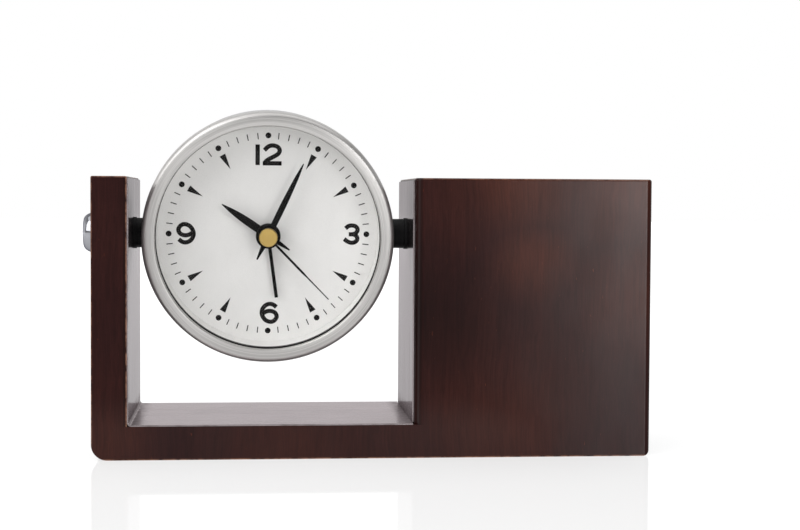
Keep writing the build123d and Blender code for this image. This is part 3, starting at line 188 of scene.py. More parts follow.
class ClockSettings(bpy.types.PropertyGroup):
    """Sizes of the clock's front, measured forward from the swivel axis"""

    lean: bpy.props.FloatProperty(
        name="Lean", description="How far the clock leans forward",
        default=math.radians(7), unit="ROTATION",
    )
    dial_front: length("Dial Front", "Front of the dial", 2.0)
    print_rise: length("Print Rise", "Thickness of the printed marks", 0.04)
    lens_back: length("Lens Back", "Back of the lens", 12.3)
    lens_thickness: length("Lens Thickness", "Thickness of the lens", 1.5)
    lens_edge: length("Lens Edge", "Rounding of the lens edge", 0.15)
    bezel_back: length("Bezel Back", "Back of the bezel's skirt", 5.6)
    bezel_inset: length("Bezel Inset", "How far the bezel lies inside its CAD ring", 0.2)
    bezel_width: length("Bezel Width", "Width of the bezel seen from the front", 4.75)
    corner_back: length("Bezel Corner Back", "Where the bezel's side starts to turn", 13.2)
    corner_width: length("Bezel Corner", "Width of the turn from side to front", 1.5)
    corner_front: length("Bezel Corner Front", "Where the turn meets the front band", 15.28)
    crest_height: length("Bezel Crest", "Height of the front band's crest", 15.42)
    lip_turn: length("Bezel Lip Turn", "Width of the turn into the lip", 0.45)
    lip_height: length("Bezel Lip", "Height of the bezel's inner lip", 14.5)
    ring_wall: length("Dial Ring Wall", "Thickness of the ring between dial and lens", 0.6)
    ring_room: length("Dial Ring Room", "Room at both ends of the dial ring", 0.05)
    ring_edge: length("Dial Ring Edge", "Chamfer at the front of the dial ring", 0.1)
    ring_black: length("Dial Ring Black", "Black part of the ring, under the lens", 1.8)
    dot_circle: length("Dot Circle", "Radius at which the hour dots lie", 34.7)
    dot_radius: length("Dot Radius", "Radius of an hour dot", 1.02)
    tick_inner: length("Tick Inner End", "Radius where the minute ticks start", 33.5)
    tick_outer: length("Tick Outer End", "Radius where the minute ticks end", 35.7)
    tick_width: length("Tick Width", "Width of a minute tick", 0.34)
    wedge_tip: length("Wedge Tip", "Radius of an hour wedge's point", 26.25)
    wedge_base: length("Wedge Base", "Radius of an hour wedge's wide end", 31.95)
    wedge_width: length("Wedge Width", "Width of an hour wedge's wide end", 2.25)
    numeral_stroke: length("Numeral Stroke", "Width of a numeral's stroke", 1.52)


class FinishSettings(bpy.types.PropertyGroup):
    """Colours of the finishes"""

    wood: colour("Wood", "Lacquered wood", 41, 18, 17)
    wood_dark: colour("Wood Dark", "Dark streaks in the wood", 30, 13, 13)
    wood_glow: colour("Wood Glow", "Warm patches in the wood", 110, 56, 36)
    # Colour of the painted highlight along the wood's edges
    wood_highlight: colour("Wood Highlight", "Rubbed edges of the wood", 146, 106, 86)
    well: colour("Well", "Inside of the pen box", 30, 18, 16)
    sheet: colour("Liner", "Brushed sheet", 170, 161, 163)
    chrome: colour("Chrome", "Plated screw heads", 172, 173, 178)
    bezel: colour("Bezel", "Brushed bezel", 200, 198, 196)
    case: colour("Case", "Metal drum of the case", 196, 196, 198)
    dial: colour("Dial", "Silvery dial paint", 230, 229, 227)
    marks: colour("Marks", "Printed marks and numerals", 24, 22, 22)
    hands: colour("Hands", "Black hands", 13, 12, 12)
    brass: colour("Brass", "Hub cap", 184, 156, 92)
    cover: colour("Back Cover", "Moulded back cover", 30, 30, 32)
    spacer: colour("Spacer", "Black spacers", 24, 24, 25)
    nylon: colour("Nylon", "Black nylon bushes", 26, 26, 27)
    gears: colour("Gears", "Moulded wheels", 226, 224, 214)
    board: colour("Board", "Circuit board", 24, 92, 50)
    copper: colour("Copper", "Coil wire", 196, 104, 58)
    jacket: colour("Battery Jacket", "Plain printed sleeve", 38, 42, 50)


# Nodes; lengths are in metres, and a noise scale is in cells to the metre

def feed(tree, node, inputs):
    """Gives a node's sockets a value each, or another node's output."""
    for label, value in inputs.items():
        if isinstance(value, bpy.types.NodeSocket):
            tree.links.new(value, node.inputs[label])
        else:
            node.inputs[label].default_value = value


def put(tree, kind, inputs, **properties):
    """A new node with its properties set and its sockets fed."""
    node = tree.nodes.new(kind)
    for name, value in properties.items():
        setattr(node, name, value)
    feed(tree, node, inputs)
    return node


def calc(tree, operation, first, *others, clamp=False):
    """Result of one kind of sum on one or more values, taken from left to right."""
    for other in others or (0.0,):
        first = put(
            tree, "ShaderNodeMath", {0: first, 1: other}, operation=operation, use_clamp=clamp,
        ).outputs[0]
    return first


def times(tree, *values):
    """Product of two or more values."""
    return calc(tree, "MULTIPLY", *values)


def vector_calc(tree, operation, first, second=(0, 0, 0), output=0):
    """Result of one sum on two vectors."""
    node = put(tree, "ShaderNodeVectorMath", {0: first, 1: second}, operation=operation)
    return node.outputs[output]


def tinted(tree, base, share):
    """A colour made lighter or darker by a value around one."""
    return vector_calc(tree, "MULTIPLY", base, share)


def axes(tree, vector):
    """The x, y and z of a vector."""
    return put(tree, "ShaderNodeSeparateXYZ", {0: vector}).outputs


def remap(tree, value, low, high, new_low=0.0, new_high=1.0):
    """A value eased from one range into another."""
    inputs = {
        "Value": value, "From Min": low, "From Max": high, "To Min": new_low, "To Max": new_high,
    }
    node = put(tree, "ShaderNodeMapRange", inputs, interpolation_type="SMOOTHSTEP")
    return node.outputs["Result"]


def between(tree, share, start, end):
    """A value that eases from start to end as a share goes from 0 to 1."""
    return remap(tree, share, 0.0, 1.0, start, end)


def mixed(tree, share, first, second):
    """Two colours blended by a share."""
    inputs = {0: share, 6: first, 7: second}
    return put(tree, "ShaderNodeMix", inputs, data_type="RGBA").outputs[2]


def stretched(tree, vector, scale, location=(0, 0, 0)):
    """Coordinates stretched along the axes."""
    inputs = {"Vector": vector, "Scale": scale, "Location": location}
    return put(tree, "ShaderNodeMapping", inputs).outputs[0]


def noise(tree, vector, scale, detail=2.0, roughness=0.5, output=0):
    """Noise pattern at one scale, or at a scale of its own along each axis."""
    if isinstance(scale, tuple):
        vector, scale = stretched(tree, vector, scale), 1.0
    inputs = {"Vector": vector, "Scale": scale, "Detail": detail, "Roughness": roughness}
    return put(tree, "ShaderNodeTexNoise", inputs).outputs[output]


def radius_of(tree, place):
    """Distance from the z axis."""
    x, y, _ = axes(tree, place)
    flat = put(tree, "ShaderNodeCombineXYZ", {0: x, 1: y}).outputs[0]
    return vector_calc(tree, "LENGTH", flat, output="Value")


def solid(values):
    """A colour setting with full alpha."""
    return values[0], values[1], values[2], 1.0


# Effects that several materials share; each function fills a node group

def stained_grain(tree, entry):
    """Stained grain along z, slightly wavy, with streaks, pores and short pale flecks."""
    bent = entry["Vector"]
    for scale, reach in (((26, 26, 22), 0.005), ((110, 110, 75), 0.0016)):
        sway = noise(tree, entry["Vector"], scale, output="Color")
        bent = vector_calc(tree, "ADD", bent, tinted(tree, sway, (reach, reach, 0.0)))
    bands = noise(tree, bent, (190, 190, 7), 4.0, 0.6)
    strands = noise(tree, bent, (760, 760, 26), 3.0, 0.6)
    fine = noise(tree, bent, (2300, 2300, 75), 3.0, 0.6)
    clouds = noise(tree, entry["Vector"], (24, 24, 15), 3.0)
    flecks = noise(tree, stretched(tree, bent, (1500, 1500, 400), (3, 1, 7)), 1.0, 1.0, 0.4)
    streaks = calc(
        tree, "ADD", remap(tree, bands, 0.58, 0.36, 0.0, 0.5),
        remap(tree, strands, 0.5, 0.34, 0.0, 0.3),
    )
    dark = calc(tree, "MULTIPLY", streaks, entry["Streaks"], clamp=True)
    toned = mixed(tree, dark, entry["Stain"], entry["Dark"])
    warmth = calc(tree, "ADD", entry["Warmth"], remap(tree, clouds, 0.4, 0.75, 0.0, 0.05))
    warmth = times(tree, warmth, remap(tree, strands, 0.3, 0.7, 0.93, 1.05))
    toned = mixed(tree, warmth, toned, entry["Glow"])
    pores = times(
        tree, remap(tree, fine, 0.3, 0.7, 0.84, 1.12), remap(tree, strands, 0.3, 0.7, 0.94, 1.04),
    )
    speck = remap(tree, flecks, 0.75, 0.85, 0.0, 0.4)
    return {
        "Color": mixed(tree, speck, tinted(tree, toned, pores), entry["Glow"]),
        "Height": calc(tree, "ADD", times(tree, fine, 0.5), times(tree, strands, 0.8)),
        "Gloss": remap(tree, clouds, 0.3, 0.7, -0.04, 0.05),
    }


def painted_edge_mask(tree, entry):
    """Mask of a painted highlight near the edges of a board between two corners, broken up by
    noise.
    """
    above = vector_calc(tree, "SUBTRACT", entry["Vector"], entry["Low"])
    below = vector_calc(tree, "SUBTRACT", entry["High"], entry["Vector"])
    x, y, z = axes(tree, vector_calc(tree, "MINIMUM", above, below))
    lesser = calc(tree, "MINIMUM", x, y)
    greater = calc(tree, "MAXIMUM", x, y)
    middle = calc(tree, "MAXIMUM", lesser, calc(tree, "MINIMUM", greater, z))
    near = calc(tree, "DIVIDE", middle, entry["Width"])
    ragged = noise(tree, entry["Vector"], 380.0, 3.0, 0.6)
    return {"Mask": times(tree, remap(tree, near, 1.3, 0.2), remap(tree, ragged, 0.3, 0.62))}


def straight_brushing(tree, entry):
    """Fine lines along z and cloudier patches, as on brushed sheet."""
    lines = noise(tree, entry["Vector"], (5200, 5200, 40), 3.0, 0.7)
    wide = noise(tree, entry["Vector"], (700, 700, 18))
    value = calc(tree, "ADD", times(tree, lines, 0.6), times(tree, wide, 0.4))
    return {"Value": remap(tree, value, 0.3, 0.7), "Height": lines}


def turned_rings(tree, entry):
    """Fine rings around z, as on turned metal."""
    x, y, z = axes(tree, entry["Vector"])
    across = times(tree, radius_of(tree, entry["Vector"]), entry["Lines"])
    along = times(tree, z, entry["Lines"])
    turn = times(tree, calc(tree, "SINE", calc(tree, "ARCTAN2", y, x)), 2.2)
    place = put(tree, "ShaderNodeCombineXYZ", {0: across, 1: along, 2: turn}).outputs[0]
    rings = noise(tree, place, 1.0, 3.0, 0.65)
    return {"Value": remap(tree, rings, 0.28, 0.72), "Height": rings}


def moulded_grain(tree, entry):
    """Spark-eroded grain of a moulded surface and its slow change of tone."""
    slow = noise(tree, entry["Vector"], 90.0, 3.0, 0.55)
    fine = noise(tree, entry["Vector"], 2600.0)
    return {"Tone": remap(tree, slow, 0.3, 0.7, 0.88, 1.1), "Height": fine}


def handling_marks(tree, entry):
    """Smudges and dust that change the gloss."""
    smears = noise(tree, entry["Vector"], (160, 90, 120), 4.0, 0.6)
    dust = noise(tree, entry["Vector"], 1900.0, 1.0, 0.4)
    return {"Smears": remap(tree, smears, 0.42, 0.7), "Dust": remap(tree, dust, 0.72, 0.8)}


# Each effect's function and the kinds of its group's named inputs
EFFECTS = {
    "Stained Grain": (stained_grain, {
        "Vector": "Vector", "Stain": "Color", "Dark": "Color", "Glow": "Color",
        "Streaks": "Float", "Warmth": "Float",
    }),
    "Painted Edge Highlight": (painted_edge_mask, {
        "Vector": "Vector", "Low": "Vector", "High": "Vector", "Width": "Float",
    }),
    "Straight Brushing": (straight_brushing, {"Vector": "Vector"}),
    "Turned Rings": (turned_rings, {"Vector": "Vector", "Lines": "Float"}),
    "Moulded Grain": (moulded_grain, {"Vector": "Vector"}),
    "Handling Marks": (handling_marks, {"Vector": "Vector"}),
}


def use(tree, name, values):
    """Outputs of an effect placed with its own values; its group is made on first use."""
    group = bpy.data.node_groups.get(name)
    if group is None:
        group = bpy.data.node_groups.new(name, "ShaderNodeTree")
        build, inputs = EFFECTS[name]
        for label, kind in inputs.items():
            group.interface.new_socket(label, in_out="INPUT", socket_type="NodeSocket" + kind)
        results = build(group, group.nodes.new("NodeGroupInput").outputs)
        for label, value in results.items():
            kind = "NodeSocketColor" if value.type == "RGBA" else "NodeSocketFloat"
            group.interface.new_socket(label, in_out="OUTPUT", socket_type=kind)
        feed(group, group.nodes.new("NodeGroupOutput"), results)
    return put(tree, "ShaderNodeGroup", values, node_tree=group).outputs


# Materials

def start_material(name, **constants):
    """A new material with its shader's own constants; returns it with its node tree."""
    material = bpy.data.materials.new(name)
    material.use_nodes = True
    shader = material.node_tree.nodes["Principled BSDF"]
    for label, value in constants.items():
        shader.inputs[label.replace("_", " ")].default_value = value
    return material, material.node_tree


def finished(material, base, rough, height=None, strength=0.1, reach=0.01 * MM, **others):
    """The material with colour, roughness, relief and other sockets of its shader fed."""
    tree = material.node_tree
    inputs = {"Base Color": base, "Roughness": rough}
    for label, value in others.items():
        inputs[label.replace("_", " ")] = value
    if height is not None:
        relief = {"Height": height, "Strength": strength, "Distance": reach}
        inputs["Normal"] = put(tree, "ShaderNodeBump", relief).outputs[0]
    feed(tree, tree.nodes["Principled BSDF"], inputs)
    return material


def follow_layout(tree, layout):
    """Points the highlights of brushed metal along a UV map."""
    tangent = put(tree, "ShaderNodeTangent", {}, direction_type="UV_MAP", uv_map=layout)
    feed(tree, tree.nodes["Principled BSDF"], {"Tangent": tangent.outputs[0]})


def object_place(tree):
    """Coordinates of the object itself."""
    return put(tree, "ShaderNodeTexCoord", {}).outputs["Object"]


def clock_place(tree):
    """Coordinates in the clock's own frame: x right, y up the face, z forward."""
    inputs = {
        "Vector": object_place(tree), "Location": swivel_point(), "Rotation": face_turn(),
    }
    return put(tree, "ShaderNodeMapping", inputs, vector_type="TEXTURE").outputs[0]


def patch(tree, place, centre, radius, strength):
    """Soft round patch, its centre and radius in mm."""
    middle = tuple(value * MM for value in centre)
    far = vector_calc(tree, "DISTANCE", place, middle, "Value")
    return remap(tree, far, radius * MM, 0.0, 0.0, strength)


def wood_material(part, finish, low, high):
    """Dark stained wood of the base, post or box, with a painted highlight along the edges between
    two corners.

    Its lacquer shines most on the upper right and along the foot.
    """
    material, tree = start_material(
        "stand_wood_" + part, Specular_IOR_Level=0.08, Coat_Roughness=0.3, Coat_IOR=1.5,
    )
    size = bpy.context.scene.desk_clock_stand
    place = object_place(tree)
    x, _, z = axes(tree, place)
    # Warm patches, partly painted light on the box's top and right
    warmth = calc(tree, "MAXIMUM", 0.0, *(patch(tree, place, *spot) for spot in WARM_PATCHES))
    wood = use(tree, "Stained Grain", {
        "Vector": place, "Stain": solid(finish.wood), "Dark": solid(finish.wood_dark),
        "Glow": solid(finish.wood_glow), "Streaks": 0.5, "Warmth": warmth,
    })
    highlit_edges = use(tree, "Painted Edge Highlight", {
        "Vector": place, "Low": low, "High": high, "Width": size.highlight_width,
    })
    rightward = remap(tree, x, 22 * MM, 95 * MM, 0.0, 0.75)
    upward = remap(tree, z, 0.0, 90 * MM, 0.55, 1.0)
    foot = remap(tree, z, 24 * MM, 9 * MM, 0.0, 0.2)
    lacquer = calc(tree, "MAXIMUM", times(tree, rightward, upward), foot)
    uneven = noise(tree, place, (75, 75, 38), 3.0, 0.55)
    lacquer = times(tree, lacquer, remap(tree, uneven, 0.25, 0.7, 0.72, 1.0))
    if part == "post":
        # Painted shade: a dark strip beside the liner, on the post's rounded right edge
        dim = high[0] - size.post_shade
        shade = remap(tree, x, dim, dim + 0.4 * size.post_shade, 1.0, 0.6)
    else:
        # A shiny line where the right edge starts to turn, and no shine past it, where painted
        # shade darkens the turned edge
        right = high[0] - size.box_right_turn
        edge_line = remap(tree, x, right - 0.6 * MM, right - 0.2 * MM, 0.0, 0.2)
        face = remap(tree, x, right + 0.1 * MM, right - 0.1 * MM)
        lacquer = times(tree, calc(tree, "ADD", lacquer, edge_line), face)
        shade = between(tree, face, 0.8, 1.0)
    if part == "box":
        # A shiny stripe in the rounded left edge, and painted shade that makes that edge darker
        # than the face
        left = low[0] + size.box_left_turn
        stripe = times(
            tree, remap(tree, x, left - 2.0 * MM, left - 1.5 * MM),
            remap(tree, x, left - 0.9 * MM, left - 1.4 * MM, 0.0, 0.3),
        )
        lacquer = calc(tree, "ADD", lacquer, stripe)
        # Painted shade in the rounded left edge
        turn = remap(tree, x, left - 0.7 * MM, left, 0.6, 1.0)
        # A darker patch on the box's left
        deep = calc(tree, "SUBTRACT", 1.0, patch(tree, place, *DARK_PATCH))
        shade = times(tree, shade, turn, deep)
    base = tinted(tree, wood["Color"], shade)
    # Painted highlight along the board's edges
    base = mixed(tree, times(tree, highlit_edges["Mask"], 0.8), base, solid(finish.wood_highlight))
    rough = calc(tree, "ADD", wood["Gloss"], 0.36)
    return finished(
        material, base, rough, wood["Height"], 0.25, 0.04 * MM, Coat_Weight=lacquer,
    )


def sheet_material(way, finish):
    """Brushed sheet, dulled and scuffed towards the bends, with a painted dark reflection near its
    front and back edges and of the clock on the right sheet's front.
    """
    edge_tint, shade, gloss, reflection_strength, turn = SHEET_LOOKS[way]
    material, tree = start_material(
        "liner_" + way, Metallic=1.0, Anisotropic=0.6, Specular_Tint=edge_tint,
    )
    follow_layout(tree, "sheet")
    place = object_place(tree)
    lined = put(tree, "ShaderNodeMapping", {"Vector": place, "Rotation": (0, turn, 0)})
    brushed = use(tree, "Straight Brushing", {"Vector": lined.outputs[0]})
    x, y, z = axes(tree, place)
    floor_low, floor_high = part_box("liner_floor")
    from_left = calc(tree, "SUBTRACT", x, floor_low.x)
    from_right = calc(tree, "SUBTRACT", floor_high.x, x)
    sideways = calc(tree, "ABSOLUTE", calc(tree, "MINIMUM", from_left, from_right))
    upward = calc(tree, "ABSOLUTE", calc(tree, "SUBTRACT", z, floor_high.z))
    near_bend = remap(tree, calc(tree, "ADD", sideways, upward), 5.5 * MM, 0.5 * MM)
    patchy = noise(tree, place, 420.0, 4.0, 0.65)
    scuffed = times(tree, near_bend, remap(tree, patchy, 0.38, 0.6, 0.35, 1.0))
    cloudy = noise(tree, place, (110, 130, 60), 3.0, 0.6)
    # Painted dark reflection near the front and back edges
    from_edge = calc(tree, "SUBTRACT", calc(tree, "ABSOLUTE", y), floor_high.y - 9 * MM)
    edge_reflection = times(tree, remap(tree, from_edge, 0.0, 8 * MM), remap(tree, cloudy, 0.46, 0.62))
    # Painted dark reflection of the clock on the front of the right sheet
    clock_reflection = times(
        tree, remap(tree, y, 8 * MM, -24 * MM), remap(tree, x, -10 * MM, 0.0),
        remap(tree, z, 25 * MM, 60 * MM, 0.3, 1.0), remap(tree, cloudy, 0.42, 0.6, 0.1, 1.0),
    )
    # Scuffs near the bends and the painted reflections share one dark colour
    scuffs_and_reflections = calc(
        tree, "MAXIMUM", times(tree, scuffed, 0.62), times(tree, edge_reflection, reflection_strength),
        times(tree, clock_reflection, 0.6),
    )
    # Painted shade on the upright sheets, painted light on the flat one
    tone = between(tree, brushed["Value"], 0.86 * shade, 1.08 * shade)
    tone = times(tree, tone, remap(tree, cloudy, 0.3, 0.7, 0.95, 1.04))
    base = mixed(tree, scuffs_and_reflections, tinted(tree, finish.sheet, tone), SCUFF_AND_REFLECTION_COLOUR)
    rough = calc(
        tree, "ADD", between(tree, brushed["Value"], gloss, gloss + 0.07),
        times(tree, scuffed, 0.15),
    )
    return finished(material, base, rough, brushed["Height"], 0.2)


def turned_material(name, base, lines, low_rough, high_rough, contrast=0.1, **constants):
    """Metal with fine rings around the clock's axis."""
    material, tree = start_material(name, Metallic=1.0, **constants)
    rings = use(tree, "Turned Rings", {"Vector": clock_place(tree), "Lines": lines})
    tone = between(tree, rings["Value"], 1 - contrast, 1 + contrast / 2)
    rough = between(tree, rings["Value"], low_rough, high_rough)
    return finished(material, tinted(tree, base, tone), rough, rings["Height"], 0.15)


def plated_material(name, base, roughness, **constants):
    """Plated or ground metal with faint handling marks."""
    material, tree = start_material(name, Metallic=1.0, **constants)
    marks = use(tree, "Handling Marks", {"Vector": object_place(tree)})
    rough = calc(
        tree, "ADD", times(tree, marks["Smears"], 0.12), roughness,
        times(tree, marks["Dust"], 0.2),
    )
    return finished(material, tinted(tree, base, between(tree, marks["Smears"], 1.0, 0.92)), rough)


def moulded_material(name, base, roughness, relief, **constants):
    """Moulded plastic with a fine eroded grain."""
    material, tree = start_material(name, **constants)
    place = object_place(tree)
    grain = use(tree, "Moulded Grain", {"Vector": place})
    marks = use(tree, "Handling Marks", {"Vector": place})
    rough = calc(tree, "ADD", times(tree, marks["Smears"], -0.08), roughness)
    return finished(
        material, tinted(tree, base, grain["Tone"]), rough, grain["Height"], relief, 0.03 * MM,
    )


def dial_material(finish):
    """Silvery paint with a very fine sparkle."""
    material, tree = start_material("dial_paint", Specular_IOR_Level=0.35)
    place = clock_place(tree)
    sparkle = noise(tree, place, 5200.0, 1.0)
    slow = noise(tree, place, 60.0)
    tone = calc(
        tree, "ADD", remap(tree, sparkle, 0.3, 0.7, -0.025, 0.025),
        remap(tree, slow, 0.3, 0.7, 0.985, 1.01),
    )
    return finished(material, tinted(tree, finish.dial, tone), 0.42, sparkle, 0.05)


def ring_material(finish):
    """Paint of the ring between dial and lens, black on its front part, under the lens."""
    material, tree = start_material("dial_ring_paint", Specular_IOR_Level=0.2)
    size = bpy.context.scene.desk_clock_front
    place = clock_place(tree)
    speckle = noise(tree, place, 3200.0)
    front = size.lens_back - size.ring_black
    black = remap(tree, axes(tree, place)[2], front - 0.15 * MM, front + 0.15 * MM)
    tone = remap(tree, speckle, 0.3, 0.7, 0.97, 1.02)
    base = mixed(tree, black, tinted(tree, finish.dial, tone), (0.012, 0.011, 0.011, 1))
    return finished(material, base, 0.5, speckle, 0.08)


def case_material(finish):
    """Turned drum, painted like the dial inside, in front of the dial."""
    material, tree = start_material("case_metal")
    place = clock_place(tree)
    rings = use(tree, "Turned Rings", {"Vector": place, "Lines": 5200.0})
    inside = calc(tree, "LESS_THAN", radius_of(tree, place), half_width("dial") + 0.6 * MM)
    ahead = calc(tree, "GREATER_THAN", axes(tree, place)[2], 0.9 * MM)
    painted = times(tree, inside, ahead)
    tone = between(tree, rings["Value"], 0.9, 1.05)
    base = mixed(tree, painted, tinted(tree, finish.case, tone), solid(finish.dial))
    rough = calc(tree, "ADD", between(tree, rings["Value"], 0.3, 0.4), times(tree, painted, 0.2))
    metal = calc(tree, "SUBTRACT", 1.0, painted)
    return finished(material, base, rough, rings["Height"], 0.15, Metallic=metal)


def lens_material():
    """Clear lens that lets light through to the dial."""
    material, tree = start_material(
        "lens_clear", Transmission_Weight=1.0, Roughness=0.0, IOR=1.12,
    )
    marks = use(tree, "Handling Marks", {"Vector": clock_place(tree)})
    base = tinted(tree, (1.0, 1.0, 1.0), between(tree, marks["Smears"], 1.0, 0.985))
    shader = tree.nodes["Principled BSDF"]
    feed(tree, shader, {"Base Color": base})
    clear = put(tree, "ShaderNodeBsdfTransparent", {"Color": (0.98, 0.98, 0.98, 1)})
    path = put(tree, "ShaderNodeLightPath", {}).outputs
    hidden = calc(tree, "MAXIMUM", path["Is Shadow Ray"], path["Is Diffuse Ray"])
    both = put(tree, "ShaderNodeMixShader", {0: hidden, 1: shader.outputs[0], 2: clear.outputs[0]})
    feed(tree, tree.nodes["Material Output"], {"Surface": both.outputs[0]})
    return material


def ink_material():
    """Black printing ink, a little uneven."""
    finish = bpy.context.scene.desk_clock_finish
    material, tree = start_material("mark_ink", Specular_IOR_Level=0.1)
    uneven = noise(tree, clock_place(tree), 2400.0, 3.0, 0.6)
    tone = remap(tree, uneven, 0.3, 0.7, 0.8, 1.3)
    return finished(material, tinted(tree, finish.marks, tone), 0.55, uneven, 0.1)


def hand_material(finish):
    """Black satin coating on thin stamped hands."""
    material, tree = start_material("hand_black", Specular_IOR_Level=0.06)
    grain = use(tree, "Moulded Grain", {"Vector": clock_place(tree)})
    base = tinted(tree, finish.hands, grain["Tone"])
    return finished(material, base, 0.32, grain["Height"], 0.06)


def coil_material(finish):
    """Enamelled wire wound side by side."""
    material, tree = start_material("coil_copper", Metallic=0.8, Coat_Weight=0.3)
    inputs = {"Vector": clock_place(tree), "Scale": 1050.0, "Distortion": 0.6}
    wire = put(tree, "ShaderNodeTexWave", inputs, bands_direction="X").outputs["Fac"]
    base = tinted(tree, finish.copper, between(tree, wire, 0.55, 1.15))
    return finished(material, base, 0.3, wire, 0.5, 0.05 * MM)


def board_material(finish):
    """Circuit board with copper tracks under its green mask."""
    material, tree = start_material("board_green", Coat_Weight=0.3)
    place = clock_place(tree)
    black, white, track_green = (0, 0, 0, 1), (1, 1, 1, 1), (0.1, 0.42, 0.16, 1)
    tracks = put(tree, "ShaderNodeTexBrick", {
        "Vector": place, "Scale": 420.0, "Mortar Size": 0.05, "Color1": black, "Color2": black,
        "Mortar": white,
    }).outputs["Fac"]
    weave = noise(tree, place, 1600.0)
    base = mixed(tree, times(tree, tracks, 0.5), solid(finish.board), track_green)
    base = tinted(tree, base, remap(tree, weave, 0.3, 0.7, 0.85, 1.15))
    return finished(material, base, 0.35, tracks, 0.3, 0.03 * MM)


def battery_material(finish):
    """Plain sleeve with a copper-coloured band near the plus end and bare metal ends."""
    material, tree = start_material("battery_jacket")
    place = object_place(tree)
    low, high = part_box("battery")
    from_end = calc(tree, "SUBTRACT", axes(tree, place)[0], low.x)
    along = calc(tree, "DIVIDE", from_end, high.x - low.x)
    band = calc(tree, "GREATER_THAN", along, 0.72)
    ends = calc(
        tree, "MAXIMUM", calc(tree, "GREATER_THAN", along, 0.972),
        calc(tree, "LESS_THAN", along, 0.008),
    )
    marks = use(tree, "Handling Marks", {"Vector": place})
    base = mixed(tree, band, solid(finish.jacket), solid(finish.copper))
    base = mixed(tree, ends, base, (0.55, 0.55, 0.56, 1))
    base = tinted(tree, base, between(tree, marks["Smears"], 1.0, 0.9))
    rough = between(tree, marks["Smears"], 0.28, 0.42)
    metal = calc(tree, "MAXIMUM", times(tree, band, 0.6), ends)
    return finished(material, base, rough, Metallic=metal)


def sounder_material(finish):
    """Brass disc with a pale ceramic disc on it."""
    material, tree = start_material("sounder_brass")
    place = object_place(tree)
    moved = vector_calc(tree, "SUBTRACT", place, tuple(node_middle("buzzer")))
    from_middle = vector_calc(tree, "LENGTH", moved, output="Value")
    ceramic = calc(tree, "LESS_THAN", from_middle, half_width("buzzer") * 0.68)
    grain = use(tree, "Moulded Grain", {"Vector": place})
    base = mixed(tree, ceramic, solid(finish.brass), (0.72, 0.7, 0.64, 1))
    base = tinted(tree, base, grain["Tone"])
    rough = remap(tree, grain["Height"], 0.3, 0.7, 0.3, 0.45)
    return finished(material, base, rough, Metallic=calc(tree, "SUBTRACT", 1.0, ceramic))


# Pieces

def swivel_point():
    """Where the clock's own frame has its origin, on the swivel axis."""
    return (node_middle("case_shell").x, 0.0, node_middle("pivot_bush_left").z)


def face_turn():
    """Rotation of the clock's own frame."""
    return Euler((QUARTER_TURN + bpy.context.scene.desk_clock_front.lean, 0, 0))


def face_place():
    """Placement of the clock's own frame in the model."""
    return Matrix.Translation(swivel_point()) @ face_turn().to_matrix().to_4x4()


def verts_of(geom):
    """The vertices among what a bmesh operator returns."""
    return [item for item in geom if isinstance(item, bmesh.types.BMVert)]


def curve(count, *corners):
    """Points of radius and height along one Bezier curve."""
    ends_and_handles = [Vector((*corner, 0)) for corner in corners]
    return [(point.x, point.y) for point in interpolate_bezier(*ends_and_handles, count)]


def spin_profile(points, segments, closed=False):
    """Surface turned round the z axis from points of radius and height."""
    bm = bmesh.new()
    verts = [bm.verts.new((radius, 0, height)) for radius, height in points]
    edges = [bm.edges.new(pair) for pair in zip(verts, verts[1:])]
    if closed:
        edges.append(bm.edges.new((verts[-1], verts[0])))
    bmesh.ops.spin(
        bm, geom=verts + edges, cent=(0, 0, 0), axis=(0, 0, 1), angle=WHOLE_TURN,
        steps=segments, use_merge=True,
    )
    bmesh.ops.remove_doubles(bm, verts=bm.verts, dist=MERGE_DISTANCE)
    bmesh.ops.recalc_face_normals(bm, faces=bm.faces)
    return bm


def show(name, bm, body, material, nodes=(), placement=None, even=True):
    """Turns a mesh into a piece that rides on a body and stands for CAD nodes."""
    if placement is not None:
        bmesh.ops.transform(bm, matrix=placement, verts=bm.verts)
    for face in bm.faces:
        face.smooth = True
    for edge in bm.edges:
        edge.smooth = edge.calc_face_angle(0.0) <= SHARP_EDGE
    mesh = bpy.data.meshes.new(name)
    bm.to_mesh(mesh)
    bm.free()
    mesh.materials.append(material)
    piece = bpy.data.objects.new(name, mesh)
    bpy.context.scene.collection.objects.link(piece)
    if even:
        shading = piece.modifiers.new("even_shading", "WEIGHTED_NORMAL")
        shading.keep_sharp = True
    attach(piece, body)
    if nodes:
        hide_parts(*nodes)
    return piece


def dress(material, *nodes):
    """Gives CAD nodes a material in place of their plain one."""
    for name in nodes:
        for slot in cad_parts[name].material_slots:
            slot.material = material


class DESKCLOCK_OT_stand(bpy.types.Operator):
    """Stain and lacquer the boards of the stand"""

    bl_idname = "desk_clock.stand"
    bl_label = "Wooden Stand"

    def execute(self, context):
        finish = context.scene.desk_clock_finish
        base_low, base_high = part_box("base_board")
        post_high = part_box("left_post")[1]
        box_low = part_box("box_front")[0]
        box_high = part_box("box_back")[1]
        boards = (
            ("base", base_low, (base_high.x, base_high.y, post_high.z), ("base_board",)),
            ("post", base_low, post_high, ("left_post",)),
            ("box", (box_low.x, box_low.y, base_low.z), box_high,
             ("box_front", "box_back", "box_left", "box_right")),
        )
        for part, low, high, nodes in boards:
            dress(wood_material(part, finish, tuple(low), tuple(high)), *nodes)
        dress(moulded_material("well_floor_wood", finish.well, 0.6, 0.4), "well_floor")
        return {"FINISHED"}


